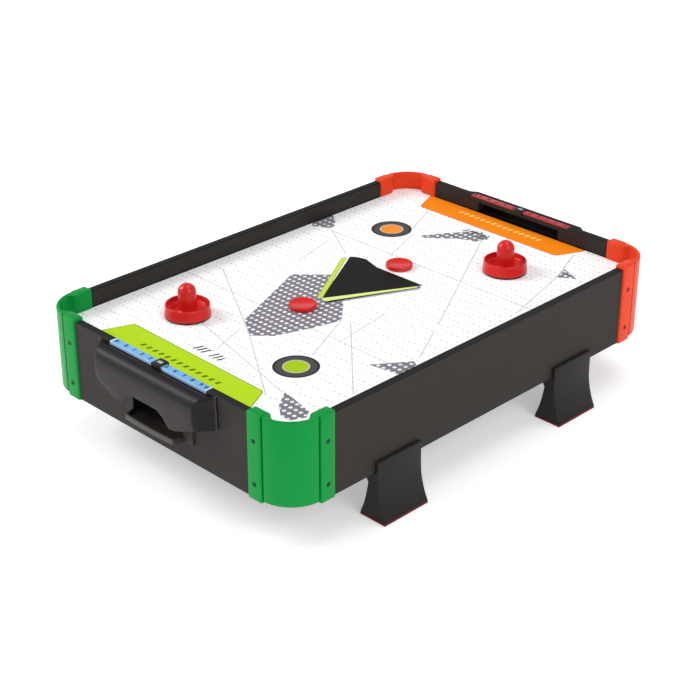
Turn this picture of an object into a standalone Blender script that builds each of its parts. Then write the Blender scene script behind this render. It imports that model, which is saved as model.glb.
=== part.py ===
"""Tabletop air hockey: a shallow rink of four rails with rounded corner mouldings, goal boxes on the
two ends, score sliders, clip-on legs, a fan and batteries below the playing panel, mallets and pucks.

Metres, +Z up.  X runs across the rink, Y along it, and Z = 0 is the surface that the feet stand on.
The near end is at -Y.
"""

import math

import bmesh
import bpy
from mathutils import Matrix, Vector

# ---- driving dimensions -----------------------------------------------------------------------
MM = 0.001
GAP = 0.3 * MM

BODY_WIDTH = 325 * MM
BODY_LENGTH = 482 * MM
BODY_BOTTOM = 47 * MM
RAIL_HEIGHT = 77.3 * MM
RAIL_THICKNESS = 8 * MM
PLAYFIELD_TOP = 108 * MM
PLAYFIELD_THICKNESS = 3 * MM

COLLAR_PROUD = 1.5 * MM
COLLAR_START = 34 * MM
COLLAR_END = 50.5 * MM
COLLAR_RISE = 2.7 * MM
COLLAR_DROP = 1 * MM
TONGUE_STEP = 1 * MM
SHELL_RADIUS = 34 * MM
SHELL_THICKNESS = 3 * MM
SHELL_INSET = 1 * MM

SCREW_FROM_CORNER = 42 * MM
SCREW_HEIGHTS = (14.5 * MM, 54.5 * MM)

LEG_CENTRE = 117 * MM
LEG_WIDTH = 53 * MM
PAD_HEIGHT = 2.4 * MM

GOAL_SLOT_HALF = 52 * MM
GOAL_SLOT_HEIGHT = 10.8 * MM
POCKET_HALF = 44 * MM
POCKET_WALL = 1.6 * MM
POCKET_BOTTOM = 66 * MM
POCKET_TOP = 95.7 * MM
POCKET_DEPTH = 28 * MM
MOUTH_HALF = 33 * MM
TRAY_REACH = 12.6 * MM
TRAY_RIM = 4 * MM

STRIP_HALF = 63 * MM
STRIP_DROP = 0.1 * MM
STRIP_THICKNESS = 1.6 * MM
STRIP_LIP = 3.4 * MM
STRIP_LIP_DEPTH = 1.8 * MM
STRIP_SIDE_PLAY = 0.2 * MM
SLIDER_HALF = 5.6 * MM
SLIDER_WALL = 1.2 * MM

MALLET_RADIUS = 21.3 * MM
MALLET_HEIGHT = 30.2 * MM
FELT_THICKNESS = 1 * MM
MALLET_NEAR = (-79 * MM, -139 * MM)
MALLET_FAR = (61.6 * MM, 138 * MM)
PUCK_RADIUS = 13 * MM
PUCK_THICKNESS = 4.2 * MM
PUCK_NEAR = (-17.4 * MM, -54 * MM)
PUCK_FAR = (-15.7 * MM, 73 * MM)

PANEL_BOTTOM = 56.5 * MM
PANEL_THICKNESS = 3 * MM
INTAKE_RADIUS = 31 * MM
FAN_RADIUS = 30 * MM
BATTERY_RADIUS = 7.1 * MM
BATTERY_LENGTH = 49 * MM
BATTERY_PITCH = 14.8 * MM
BATTERY_BAY = (0, -140 * MM)

SWITCH_PLACE = -168 * MM
SWITCH_HEIGHT = 86 * MM
ROCKER_TILT = math.radians(8)

# ---- sizes that follow ------------------------------------------------------------------------
HALF_WIDTH = BODY_WIDTH / 2
HALF_LENGTH = BODY_LENGTH / 2
RAIL_TOP = BODY_BOTTOM + RAIL_HEIGHT
RAIL_INNER = COLLAR_PROUD + RAIL_THICKNESS
SIDE_FACE = HALF_WIDTH - COLLAR_PROUD
END_FACE = HALF_LENGTH - COLLAR_PROUD
ARC_CENTRE = SHELL_RADIUS + SHELL_INSET
COLLAR_INNER = RAIL_INNER + COLLAR_PROUD
WEB = 2 * MM
TONGUE_END = COLLAR_START + WEB + GAP
TONGUE_OUTER = COLLAR_PROUD + TONGUE_STEP
TONGUE_INNER = RAIL_INNER - TONGUE_STEP
PANEL_TOP = PANEL_BOTTOM + PANEL_THICKNESS
PLAYFIELD_BOTTOM = PLAYFIELD_TOP - PLAYFIELD_THICKNESS
POCKET_OUTER = POCKET_HALF + POCKET_WALL
STRIP_TOP = RAIL_TOP - STRIP_DROP
STRIP_BOTTOM = STRIP_TOP - STRIP_THICKNESS
STRIP_LIP_BOTTOM = STRIP_TOP - STRIP_LIP


# ---- scene helpers ----------------------------------------------------------------------------
def clear_scene():
    for item in list(bpy.data.objects):
        bpy.data.objects.remove(item, do_unlink=True)


def new_collection(name):
    collection = bpy.data.collections.new(name)
    bpy.context.scene.collection.children.link(collection)
    return collection


clear_scene()
PARTS = new_collection("tabletop_air_hockey")
CUTTERS = new_collection("cutters")


def material(name, color, roughness, metallic=0.0):
    made = bpy.data.materials.new(name)
    made.use_nodes = True
    shader = made.node_tree.nodes["Principled BSDF"]
    shader.inputs["Base Color"].default_value = (*color, 1.0)
    shader.inputs["Roughness"].default_value = roughness
    shader.inputs["Metallic"].default_value = metallic
    made.diffuse_color = (*color, 1.0)
    return made


GREEN = material("green_plastic", (0.01, 0.36, 0.07), 0.32)
ORANGE = material("orange_plastic", (0.80, 0.11, 0.03), 0.32)
RAIL_BLACK = material("rail_laminate", (0.035, 0.032, 0.03), 0.5)
MOULDED_BLACK = material("black_plastic", (0.025, 0.025, 0.025), 0.42)
PANEL_WHITE = material("white_panel", (0.86, 0.86, 0.86), 0.35)
PANEL_DARK = material("bottom_board", (0.05, 0.048, 0.045), 0.6)
MALLET_RED = material("red_plastic", (0.66, 0.03, 0.02), 0.25)
STRIP_BLUE = material("blue_strip", (0.27, 0.52, 0.86), 0.4)
STRIP_RED = material("red_strip", (0.52, 0.06, 0.08), 0.4)
RUBBER_RED = material("dark_red_rubber", (0.16, 0.012, 0.012), 0.8)
FELT = material("black_felt", (0.02, 0.02, 0.02), 0.95)
STEEL = material("blackened_steel", (0.12, 0.12, 0.12), 0.35, 1.0)
MOTOR_STEEL = material("motor_steel", (0.6, 0.6, 0.6), 0.3, 1.0)
CELL = material("battery_sleeve", (0.32, 0.3, 0.1), 0.4)


def add_object(name, mesh, surface, place=(0, 0, 0), turn=(0, 0, 0)):
    """A visible piece, with its own material even when it shares its mesh with another piece."""
    item = bpy.data.objects.new(name, mesh)
    item.location = place
    item.rotation_euler = turn
    PARTS.objects.link(item)
    if not mesh.materials:
        mesh.materials.append(surface)
    item.material_slots[0].link = "OBJECT"
    item.material_slots[0].material = surface
    return item


def add_tool(name, mesh, place=(0, 0, 0), turn=(0, 0, 0)):
    """A hidden operand of a Boolean."""
    item = bpy.data.objects.new(name, mesh)
    item.location = place
    item.rotation_euler = turn
    item.hide_render = True
    item.display_type = "WIRE"
    CUTTERS.objects.link(item)
    return item


def combine(target, tool, operation):
    step = target.modifiers.new(tool.name, "BOOLEAN")
    step.operation = operation
    step.solver = "EXACT"
    step.use_self = True
    step.object = tool


def cut(target, *tools):
    for tool in tools:
        combine(target, tool, "DIFFERENCE")


def join(target, *tools):
    for tool in tools:
        combine(target, tool, "UNION")


def bevel(item, width, segments=2, angle=40):
    step = item.modifiers.new("bevel", "BEVEL")
    step.width = width
    step.segments = segments
    step.limit_method = "ANGLE"
    step.angle_limit = math.radians(angle)


def evaluated_mesh(item):
    """The mesh of an object with its modifiers, in its own axes."""
    graph = bpy.context.evaluated_depsgraph_get()
    graph.update()
    return bpy.data.meshes.new_from_object(item.evaluated_get(graph))


def smooth(mesh, angle=35):
    mesh.shade_smooth()
    mesh.set_sharp_from_angle(angle=math.radians(angle))
    return mesh


# ---- shapes -----------------------------------------------------------------------------------
def box_mesh(low, high):
    """A box between two corners."""
    low = Vector(low)
    high = Vector(high)
    mesh = bpy.data.meshes.new("box")
    shape = bmesh.new()
    bmesh.ops.create_cube(shape, size=1.0)
    bmesh.ops.scale(shape, vec=high - low, verts=shape.verts)
    bmesh.ops.translate(shape, vec=(low + high) / 2, verts=shape.verts)
    shape.to_mesh(mesh)
    shape.free()
    return mesh


def cylinder_mesh(radius, low, high, segments=24):
    """A cylinder on the Z axis."""
    mesh = bpy.data.meshes.new("cylinder")
    shape = bmesh.new()
    bmesh.ops.create_cone(
        shape, cap_ends=True, segments=segments, radius1=radius, radius2=radius, depth=high - low
    )
    bmesh.ops.translate(shape, vec=(0, 0, (low + high) / 2), verts=shape.verts)
    shape.to_mesh(mesh)
    shape.free()
    return mesh


def arc(centre, radius, start, stop, steps):
    """Points on an arc, its angles in degrees."""
    points = []
    for step in range(steps + 1):
        angle = math.radians(start + (stop - start) * step / steps)
        points.append((centre[0] + radius * math.cos(angle), centre[1] + radius * math.sin(angle)))
    return points


def plate_mesh(points, low, high):
    """A flat outline in XY, made solid between two heights."""
    curve = bpy.data.curves.new("outline", "CURVE")
    curve.dimensions = "2D"
    curve.fill_mode = "BOTH"
    curve.extrude = (high - low) / 2
    line = curve.splines.new("POLY")
    line.points.add(len(points) - 1)
    for point, (x, y) in zip(line.points, points):
        point.co = (x, y, 0, 1)
    line.use_cyclic_u = True
    guide = bpy.data.objects.new("outline", curve)
    CUTTERS.objects.link(guide)
    mesh = evaluated_mesh(guide)
    bpy.data.objects.remove(guide, do_unlink=True)
    bpy.data.curves.remove(curve)
    shape = bmesh.new()
    shape.from_mesh(mesh)
    bmesh.ops.remove_doubles(shape, verts=shape.verts, dist=0.01 * MM)
    bmesh.ops.translate(shape, vec=(0, 0, (low + high) / 2), verts=shape.verts)
    shape.to_mesh(mesh)
    shape.free()
    mesh.materials.clear()
    return mesh


def turned_mesh(profile, steps, closed=False):
    """A profile of (radius, height) points turned about Z; it goes down the outer side."""
    mesh = bpy.data.meshes.new("profile")
    shape = bmesh.new()
    ring = [shape.verts.new((radius, 0, height)) for radius, height in profile]
    for first, second in zip(ring, ring[1:]):
        shape.edges.new((first, second))
    if closed:
        shape.edges.new((ring[-1], ring[0]))
    shape.to_mesh(mesh)
    shape.free()
    guide = bpy.data.objects.new("profile", mesh)
    CUTTERS.objects.link(guide)
    turn = guide.modifiers.new("turn", "SCREW")
    turn.steps = steps
    turn.render_steps = steps
    turn.use_merge_vertices = True
    turn.merge_threshold = 0.00001
    turned = evaluated_mesh(guide)
    bpy.data.objects.remove(guide, do_unlink=True)
    bpy.data.meshes.remove(mesh)
    return smooth(turned)


def join_mesh(name, base, *others):
    """Several closed meshes as the loose parts of one mesh."""
    mesh = bpy.data.meshes.new(name)
    shape = bmesh.new()
    for each in (base, *others):
        shape.from_mesh(each)
    shape.to_mesh(mesh)
    shape.free()
    return mesh


def mirrored_outline(right_side):
    """A closed outline from its right side, given from bottom to top."""
    return list(right_side) + [(-x, y) for x, y in reversed(right_side)]


# ---- playing panel and bottom panel -----------------------------------------------------------
def panel_outline():
    """The inside of the rink: straight along the rails, rounded inside the corner mouldings."""
    edge = RAIL_INNER + GAP
    web = COLLAR_START - GAP
    radius = SHELL_RADIUS - SHELL_THICKNESS - GAP
    swing = math.degrees(math.asin((ARC_CENTRE - web) / radius))
    rounded = arc((ARC_CENTRE, ARC_CENTRE), radius, 180 + swing, 270 - swing, 10)
    corner = [(edge, web), *rounded, (web, edge)]
    outline = []
    for side_x, side_y in ((-1, -1), (1, -1), (1, 1), (-1, 1)):
        points = [(side_x * (HALF_WIDTH - u), side_y * (HALF_LENGTH - v)) for u, v in corner]
        outline += points if side_x * side_y > 0 else reversed(points)
    return outline


def make_playfield():
    mesh = plate_mesh(panel_outline(), PLAYFIELD_BOTTOM, PLAYFIELD_TOP)
    add_object("playfield", mesh, PANEL_WHITE)


def battery_opening(clearance):
    """The battery bay's outline: a rectangle with a tab for the door's screw."""
    half_x = 30.5 * MM - clearance
    half_y = 28.5 * MM - clearance
    tab_x = 6.3 * MM - clearance
    tab_y = 38.3 * MM - clearance
    side = [(half_x, -half_y), (half_x, half_y), (tab_x, half_y), (tab_x, tab_y)]
    return [(x + BATTERY_BAY[0], y + BATTERY_BAY[1]) for x, y in mirrored_outline(side)]


def make_bottom_panel():
    mesh = plate_mesh(panel_outline(), PANEL_BOTTOM, PANEL_TOP)
    panel = add_object("bottom_panel", mesh, PANEL_DARK)
    below = PANEL_BOTTOM - 1 * MM
    above = PANEL_TOP + 1 * MM
    intake = add_tool("intake_cut", cylinder_mesh(INTAKE_RADIUS, below, above, 32))
    bay = add_tool("battery_bay_cut", plate_mesh(battery_opening(0), below, above))
    cut(panel, intake, bay)


# ---- rails ------------------------------------------------------------------------------------
def rail_blank(name, body_length):
    """A rail along X with its outer face towards -Y, reduced to a tongue at each end."""
    half = body_length / 2
    face = half - COLLAR_END - GAP
    board = box_mesh((-face, COLLAR_PROUD, BODY_BOTTOM), (face, RAIL_INNER, RAIL_TOP))
    rail = bpy.data.objects.new(name, board)
    CUTTERS.objects.link(rail)
    bevel(rail, 0.6 * MM, 1)
    reach = half - TONGUE_END
    low = (-reach, TONGUE_OUTER, BODY_BOTTOM + TONGUE_STEP)
    high = (reach, TONGUE_INNER, RAIL_TOP - TONGUE_STEP)
    join(rail, add_tool(name + "_tongue", box_mesh(low, high)))
    holes = []
    for side in (-1, 1):
        for height in SCREW_HEIGHTS:
            hole = cylinder_mesh(1.2 * MM, 0.5 * MM, RAIL_THICKNESS + 3 * MM, 10)
            turn = Matrix.Rotation(math.radians(-90), 4, "X")
            spot = (side * (half - SCREW_FROM_CORNER), 0, BODY_BOTTOM + height)
            hole.transform(Matrix.Translation(spot) @ turn)
            holes.append(hole)
    cut(rail, add_tool(name + "_holes", join_mesh("holes", *holes)))
    return rail


def baked(item):
    """The finished mesh of a construction object, which is then removed."""
    mesh = evaluated_mesh(item)
    mesh.materials.clear()
    bpy.data.objects.remove(item, do_unlink=True)
    return mesh


def make_side_rails():
    switch_turn = -math.pi / 2
    right = rail_blank("side_rail", BODY_LENGTH)
    right_mesh = baked(right)
    add_object("rail_right", right_mesh, RAIL_BLACK, (HALF_WIDTH, 0, 0), (0, 0, math.pi / 2))
    left = rail_blank("switched_rail", BODY_LENGTH)
    half_long = 9.5 * MM
    half_high = 6.5 * MM
    middle = -SWITCH_PLACE
    low = (middle - half_long, 0, SWITCH_HEIGHT - half_high)
    high = (middle + half_long, RAIL_INNER + 2 * MM, SWITCH_HEIGHT + half_high)
    cut(left, add_tool("switch_cut", box_mesh(low, high)))
    add_object("rail_left", baked(left), RAIL_BLACK, (-HALF_WIDTH, 0, 0), (0, 0, switch_turn))


def make_end_rails():
    rail = rail_blank("end_rail", BODY_WIDTH)
    front = 0
    back = RAIL_INNER + 2 * MM
    slot_top = PLAYFIELD_TOP + GOAL_SLOT_HEIGHT
    slot = box_mesh((-GOAL_SLOT_HALF, front, PLAYFIELD_TOP), (GOAL_SLOT_HALF, back, slot_top))
    side = POCKET_OUTER + GAP
    pocket = box_mesh((-side, front, POCKET_BOTTOM - GAP), (side, back, POCKET_TOP + GAP))
    cut(rail, add_tool("goal_slot_cut", slot), add_tool("pocket_cut", pocket))
    reach = STRIP_HALF + GAP
    above = RAIL_TOP + 1 * MM
    lip_back = COLLAR_PROUD + STRIP_SIDE_PLAY + STRIP_LIP_DEPTH + GAP
    shelf = box_mesh((-reach, front, STRIP_BOTTOM - GAP), (reach, back, above))
    rebate = box_mesh((-reach, front, STRIP_LIP_BOTTOM - GAP), (reach, lip_back, above))
    cut(rail, add_tool("strip_shelf_cut", shelf), add_tool("strip_lip_cut", rebate))
    mesh = baked(rail)
    add_object("rail_near_end", mesh, RAIL_BLACK, (0, -HALF_LENGTH, 0))
    add_object("rail_far_end", mesh, RAIL_BLACK, (0, HALF_LENGTH, 0), (0, 0, math.pi))


# ---- corner mouldings -------------------------------------------------------------------------
def across_diagonal(low, high):
    """The box on the other side of a corner's diagonal: x and y change places and signs."""
    return (-high[1], -high[0], low[2]), (-low[1], -low[0], high[2])


def both_arms(low, high):
    return box_mesh(low, high), box_mesh(*across_diagonal(low, high))


def gusset_outlines():
    """The web between each collar's inner edge and the shell, above the playing panel."""
    outline = [(35.5, 4), (35.5, 10.9), (34.5, 10.9), (31.5, 9.6), (29, 7.4), (26.5, 5.9), (24, 5.5), (24, 4)]
    points = [(along * MM, across * MM) for along, across in outline]
    first = [(-across, along) for along, across in points]
    second = [(-along, across) for along, across in reversed(points)]
    return first, second


def corner_mesh():
    """The near right corner, its outer corner at the origin and the rink towards -X and +Y."""
    bottom = BODY_BOTTOM - COLLAR_DROP
    top = RAIL_TOP + COLLAR_RISE
    collars = both_arms((-COLLAR_INNER, COLLAR_START, bottom), (0, COLLAR_END, top))
    corner = bpy.data.objects.new("corner", collars[0])
    CUTTERS.objects.link(corner)
    bevel(corner, 0.8 * MM, 2)
    second = add_tool("second_collar", collars[1])
    bevel(second, 0.8 * MM, 2)

    centre = (-ARC_CENTRE, ARC_CENTRE)
    inner_radius = SHELL_RADIUS - SHELL_THICKNESS
    extra = 0.6 * MM
    outer = arc(centre, SHELL_RADIUS, 270, 360, 12)
    inner = arc(centre, inner_radius, 360, 270, 12)
    start = [(centre[0] - extra, outer[0][1])]
    turn = [(outer[-1][0], centre[1] + extra), (inner[0][0], centre[1] + extra)]
    finish = [(centre[0] - extra, inner[-1][1])]
    band = start + outer + turn + inner + finish
    shell = add_tool("shell", plate_mesh(band, bottom + 2.2 * MM, top - 0.3 * MM))
    bevel(shell, 0.9 * MM, 1, 60)
    join(corner, shell, second)
    for number, outline in enumerate(gusset_outlines()):
        gusset = plate_mesh(outline, PLAYFIELD_TOP + GAP, top - 0.7 * MM)
        join(corner, add_tool("gusset_%d" % number, gusset))

    pocket_low = (GAP - TONGUE_OUTER, COLLAR_START + WEB, BODY_BOTTOM + TONGUE_STEP - GAP)
    pocket_high = (-TONGUE_INNER - GAP, COLLAR_END + 2 * MM, RAIL_TOP - TONGUE_STEP + GAP)
    low = (pocket_high[0], pocket_low[1], pocket_low[2])
    high = (pocket_low[0], pocket_high[1], pocket_high[2])
    pockets = both_arms(low, high)
    panel_low = (-COLLAR_INNER - 1 * MM, COLLAR_START - 1 * MM, bottom - 1 * MM)
    panel_high = (-RAIL_INNER, COLLAR_END + 1 * MM, PLAYFIELD_TOP + GAP)
    reliefs = both_arms(panel_low, panel_high)
    for number, tool in enumerate(pockets + reliefs):
        cut(corner, add_tool("corner_cut_%d" % number, tool))

    holes = []
    for height in SCREW_HEIGHTS:
        for radius, depth in ((2.1 * MM, 1.4 * MM), (1.2 * MM, 3 * MM)):
            place = BODY_BOTTOM + height
            along_x = cylinder_mesh(radius, -depth, 1 * MM, 12)
            along_x.transform(Matrix.Rotation(math.radians(90), 4, "Y"))
            along_x.transform(Matrix.Translation((0, SCREW_FROM_CORNER, place)))
            along_y = cylinder_mesh(radius, -depth, 1 * MM, 12)
            along_y.transform(Matrix.Rotation(math.radians(90), 4, "X"))
            along_y.transform(Matrix.Translation((-SCREW_FROM_CORNER, 0, place)))
            holes.append((along_x, along_y))
    for number, pair in enumerate(holes):
        cut(corner, add_tool("screw_cut_%d" % number, join_mesh("screw_cut", *pair)))
    return smooth(baked(corner))


def screw_mesh(head_radius, head_height, shank_radius, shank_length):
    """A pan-head screw along Z, its head's underside at 0 and its shank below."""
    crown = head_height * 0.6
    profile = [
        (0, head_height),
        (head_radius * 0.7, head_height),
        (head_radius, crown),
        (head_radius, 0),
        (shank_radius, 0),
        (shank_radius, -shank_length * 0.85),
        (0, -shank_length),
    ]
    return turned_mesh(profile, 10)


CORNERS = (
    ("near_right", 1, -1, 0, GREEN),
    ("far_right", 1, 1, 90, ORANGE),
    ("far_left", -1, 1, 180, ORANGE),
    ("near_left", -1, -1, 270, GREEN),
)


def make_corners():
    mesh = corner_mesh()
    screw = screw_mesh(1.8 * MM, 0.8 * MM, 0.9 * MM, 6.4 * MM)
    seat = 1.1 * MM
    for name, side_x, side_y, degrees, color in CORNERS:
        place = Vector((side_x * HALF_WIDTH, side_y * HALF_LENGTH, 0))
        turn = math.radians(degrees)
        add_object("corner_" + name, mesh, color, place, (0, 0, turn))
        spin = Matrix.Rotation(turn, 3, "Z")
        arms = (
            ("a", (-seat, SCREW_FROM_CORNER), (0, math.pi / 2, turn)),
            ("b", (-SCREW_FROM_CORNER, seat), (math.pi / 2, 0, turn)),
        )
        for arm, (x, y), aim in arms:
            for level, height in zip(("low", "high"), SCREW_HEIGHTS):
                spot = place + spin @ Vector((x, y, BODY_BOTTOM + height))
                label = "screw_%s_%s_%s" % (name, arm, level)
                add_object(label, screw, STEEL, spot, aim)


# ---- goal boxes -------------------------------------------------------------------------------
# Levels of the hood in mm: depth out from the rail at the front and at the ends, height over the
# rail's top, how much the height gains towards the ends, and half lengths of the front and the whole.
HOOD_SKIN = (
    (0.3, 0.3, -4.3, 3.7, 66.0, 76.0),
    (3.2, 1.3, -2.6, 1.4, 66.0, 76.0),
    (6.5, 1.3, -1.8, 0.0, 66.0, 76.0),
    (12.4, 1.3, -4.6, 0.0, 65.0, 76.0),
    (16.0, 1.3, -10.3, 0.0, 62.5, 76.5),
    (17.0, 1.3, -17.0, 0.0, 62.0, 77.0),
    (16.6, 1.3, -24.0, 0.0, 62.0, 77.0),
    (15.2, 1.3, -30.3, 0.0, 62.5, 77.0),
)
HOOD_LINING = (
    (0.3, 0.3, -6.6, 3.7, 64.5, 73.7),
    (3.6, 0.3, -4.8, 1.4, 64.5, 73.7),
    (6.4, 0.3, -3.9, 0.0, 64.5, 73.7),
    (11.2, 0.3, -6.3, 0.0, 63.5, 73.7),
    (14.1, 0.3, -11.2, 0.0, 61.0, 74.2),
    (15.0, 0.3, -17.1, 0.0, 60.5, 74.7),
    (14.6, 0.3, -23.8, 0.0, 60.5, 74.7),
    (13.2, 0.3, -29.9, 0.0, 61.0, 74.7),
)


def hood_row(depth, end_depth, height, end_rise, front_half, end_half):
    """One level of the hood from end to end: straight along the front, swept back to the rail."""
    side = [(front_half * share, depth, height) for share in (0.0, 0.3, 0.62, 0.85)]
    for share in (0.0, 0.3, 0.55, 0.78, 1.0):
        turned = share * share * (3 - 2 * share)
        out = depth + (end_depth - depth) * turned
        side.append((front_half + (end_half - front_half) * share, out, height + end_rise * turned))
    whole = [(-x, out, up) for x, out, up in reversed(side[1:])] + side
    return [(x * MM, -out * MM, RAIL_TOP + up * MM) for x, out, up in whole]


def hood_mesh():
    """The near hood, closed: a gutter at the rail and a rolled brow, with a lining behind its skin."""
    mesh = bpy.data.meshes.new("hood")
    shape = bmesh.new()
    levels = [*HOOD_SKIN, *reversed(HOOD_LINING)]
    rows = [[shape.verts.new(spot) for spot in hood_row(*level)] for level in levels]
    for upper, lower in zip(rows, rows[1:] + rows[:1]):
        for column in range(len(upper) - 1):
            shape.faces.new((upper[column], lower[column], lower[column + 1], upper[column + 1]))
    count = len(HOOD_SKIN)
    for skin in range(count - 1):
        lining = 2 * count - 1 - skin
        for column in (0, -1):
            corners = (rows[skin], rows[skin + 1], rows[lining - 1], rows[lining])
            shape.faces.new([row[column] for row in corners])
    bmesh.ops.recalc_face_normals(shape, faces=shape.faces)
    shape.to_mesh(mesh)
    shape.free()
    return mesh


def tray_outline(inset, back):
    """The tray in front of the pocket's mouth, seen from above: it narrows outwards and bows a little."""
    bow = 1 * MM
    narrowing = 4 * MM
    steps = 12
    front_half = MOUTH_HALF + POCKET_WALL - narrowing - inset
    back_half = MOUTH_HALF + POCKET_WALL - inset
    front = inset - TRAY_REACH
    line = [(-back_half, back), (-back_half, -2 * MM)]
    for step in range(steps + 1):
        share = -1 + 2 * step / steps
        line.append((front_half * share, front - bow * (1 - share * share)))
    return [*line, (back_half, -2 * MM), (back_half, back)]


def goal_box_mesh():
    """The near goal box: hood outside the rail, pocket inside it; its rail face is at y = 0."""
    hood = bpy.data.objects.new("hood", hood_mesh())
    CUTTERS.objects.link(hood)
    mouth = -1.9 * MM
    side = POCKET_OUTER
    pocket = box_mesh((-side, mouth, POCKET_BOTTOM), (side, POCKET_DEPTH, POCKET_TOP))
    tray_low = POCKET_BOTTOM - 0.8 * MM
    tray = plate_mesh(tray_outline(0, -1 * MM), tray_low, POCKET_BOTTOM + TRAY_RIM)
    cheek_front = -15 * MM
    cheek_low = POCKET_TOP - 1.1 * MM
    cheek_high = POCKET_TOP + 8.3 * MM
    cheek_in = POCKET_HALF - 0.3 * MM
    cheek_out = side - 0.3 * MM
    right_cheek = box_mesh((cheek_in, cheek_front, cheek_low), (cheek_out, -GAP, cheek_high))
    left_cheek = box_mesh((-cheek_out, cheek_front, cheek_low), (-cheek_in, -GAP, cheek_high))
    cheeks = join_mesh("cheeks", right_cheek, left_cheek)
    tools = (("pocket", pocket), ("tray", tray), ("cheeks", cheeks))
    join(hood, *(add_tool(name, mesh) for name, mesh in tools))

    inside_low = (-POCKET_HALF, mouth + POCKET_WALL, POCKET_BOTTOM + POCKET_WALL)
    inside_high = (POCKET_HALF, POCKET_DEPTH - POCKET_WALL, POCKET_TOP - POCKET_WALL)
    hollow = box_mesh(inside_low, inside_high)
    floor = POCKET_BOTTOM + POCKET_WALL + 0.1 * MM
    opening = plate_mesh(tray_outline(POCKET_WALL, 2 * MM), floor, POCKET_TOP - POCKET_WALL - 0.1 * MM)
    cut(hood, add_tool("pocket_hollow", hollow), add_tool("mouth_cut", opening))
    return smooth(baked(hood))


def make_goal_boxes():
    mesh = goal_box_mesh()
    add_object("goal_box_near", mesh, MOULDED_BLACK, (0, -END_FACE, 0))
    add_object("goal_box_far", mesh, MOULDED_BLACK, (0, END_FACE, 0), (0, 0, math.pi))


# ---- score strips and sliders -----------------------------------------------------------------
def along_x_mesh(section, half):
    """A (y, z) section made solid along X, from -half to half."""
    mesh = plate_mesh(section, -half, half)
    mesh.transform(Matrix(((0, 0, 1, 0), (1, 0, 0, 0), (0, 1, 0, 0), (0, 0, 0, 1))))
    return mesh


def strip_mesh():
    """The near score strip: a plate on the rail's shelf with a lip down the rail's outer face."""
    outer = STRIP_SIDE_PLAY
    lip = outer + STRIP_LIP_DEPTH
    inner = RAIL_THICKNESS - STRIP_SIDE_PLAY
    section = [
        (outer, STRIP_LIP_BOTTOM),
        (lip, STRIP_LIP_BOTTOM),
        (lip, STRIP_BOTTOM),
        (inner, STRIP_BOTTOM),
        (inner, STRIP_TOP),
        (outer, STRIP_TOP),
    ]
    return along_x_mesh(section, STRIP_HALF)


def slider_mesh():
    """A frame that slides on the score strip, with a window over one mark."""
    outer = STRIP_SIDE_PLAY - GAP
    inner = RAIL_THICKNESS + GAP
    under = STRIP_TOP + GAP
    top = under + SLIDER_WALL
    outer_foot = STRIP_LIP_BOTTOM + 0.8 * MM
    inner_foot = STRIP_LIP_BOTTOM - 1 * MM
    section = [
        (outer - SLIDER_WALL, outer_foot),
        (outer, outer_foot),
        (outer, under),
        (inner, under),
        (inner, inner_foot),
        (inner + SLIDER_WALL, inner_foot),
        (inner + SLIDER_WALL, top),
        (outer - SLIDER_WALL, top),
    ]
    slider = bpy.data.objects.new("slider", along_x_mesh(section, SLIDER_HALF))
    CUTTERS.objects.link(slider)
    bevel(slider, 0.4 * MM, 1)
    window = box_mesh((-3.4 * MM, 2 * MM, STRIP_TOP), (3.4 * MM, 6.2 * MM, top + 1 * MM))
    cut(slider, add_tool("slider_window_cut", window))
    return baked(slider)


def make_score_strips():
    strip = strip_mesh()
    slider = slider_mesh()
    ends = (("near", -1, 0, STRIP_BLUE), ("far", 1, math.pi, STRIP_RED))
    for name, side, turn, color in ends:
        place = (0, side * END_FACE, 0)
        item = add_object("score_strip_" + name, strip, color, place, (0, 0, turn))
        bevel(item, 0.4 * MM, 1)
        add_object("score_slider_" + name, slider, MOULDED_BLACK, place, (0, 0, turn))


# ---- legs -------------------------------------------------------------------------------------
def leg_outline():
    """A leg's side view: distance out from the rail's middle, and height."""
    slot = RAIL_THICKNESS / 2 + GAP
    slot_top = BODY_BOTTOM - GAP
    base = PAD_HEIGHT + GAP
    outer = [(7.5, 56.8), (7.5, 42), (8.1, 29), (10.2, 18.7), (13.3, 9.3), (16.1, 3.4)]
    inner = [(-12.4, 4), (-9, 12.5), (-6, 24), (-4, 35.5), (-6.6, 40), (-6.9, 44), (-6.9, 54.6)]
    right = [(x * MM, z * MM) for x, z in outer]
    left = [(x * MM, z * MM) for x, z in inner]
    hook_right = [(slot, slot_top), (slot, 58 * MM), (slot + 2.2 * MM, 58 * MM)]
    hook_left = [(-slot - 1.6 * MM, 56 * MM), (-slot, 56 * MM), (-slot, slot_top)]
    return hook_right + right + [(16.5 * MM, base), (-12.6 * MM, base)] + left + hook_left


def make_legs():
    leg = plate_mesh(leg_outline(), -LEG_WIDTH / 2, LEG_WIDTH / 2)
    low = (-12.8 * MM, 0, -LEG_WIDTH / 2 - GAP)
    high = (16.5 * MM, PAD_HEIGHT, LEG_WIDTH / 2 + GAP)
    pad = box_mesh(low, high)
    stand = math.pi / 2
    for side, side_name in ((-1, "left"), (1, "right")):
        for end, end_name in ((-1, "near"), (1, "far")):
            label = "%s_%s" % (side_name, end_name)
            place = (side * (SIDE_FACE - RAIL_THICKNESS / 2), end * LEG_CENTRE, 0)
            face = (stand, 0, 0) if side > 0 else (stand, 0, math.pi)
            item = add_object("leg_" + label, leg, MOULDED_BLACK, place, face)
            bevel(item, 0.5 * MM, 1, 60)
            foot = add_object("foot_pad_" + label, pad, RUBBER_RED, place, face)
            bevel(foot, 0.5 * MM, 1, 60)


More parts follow.
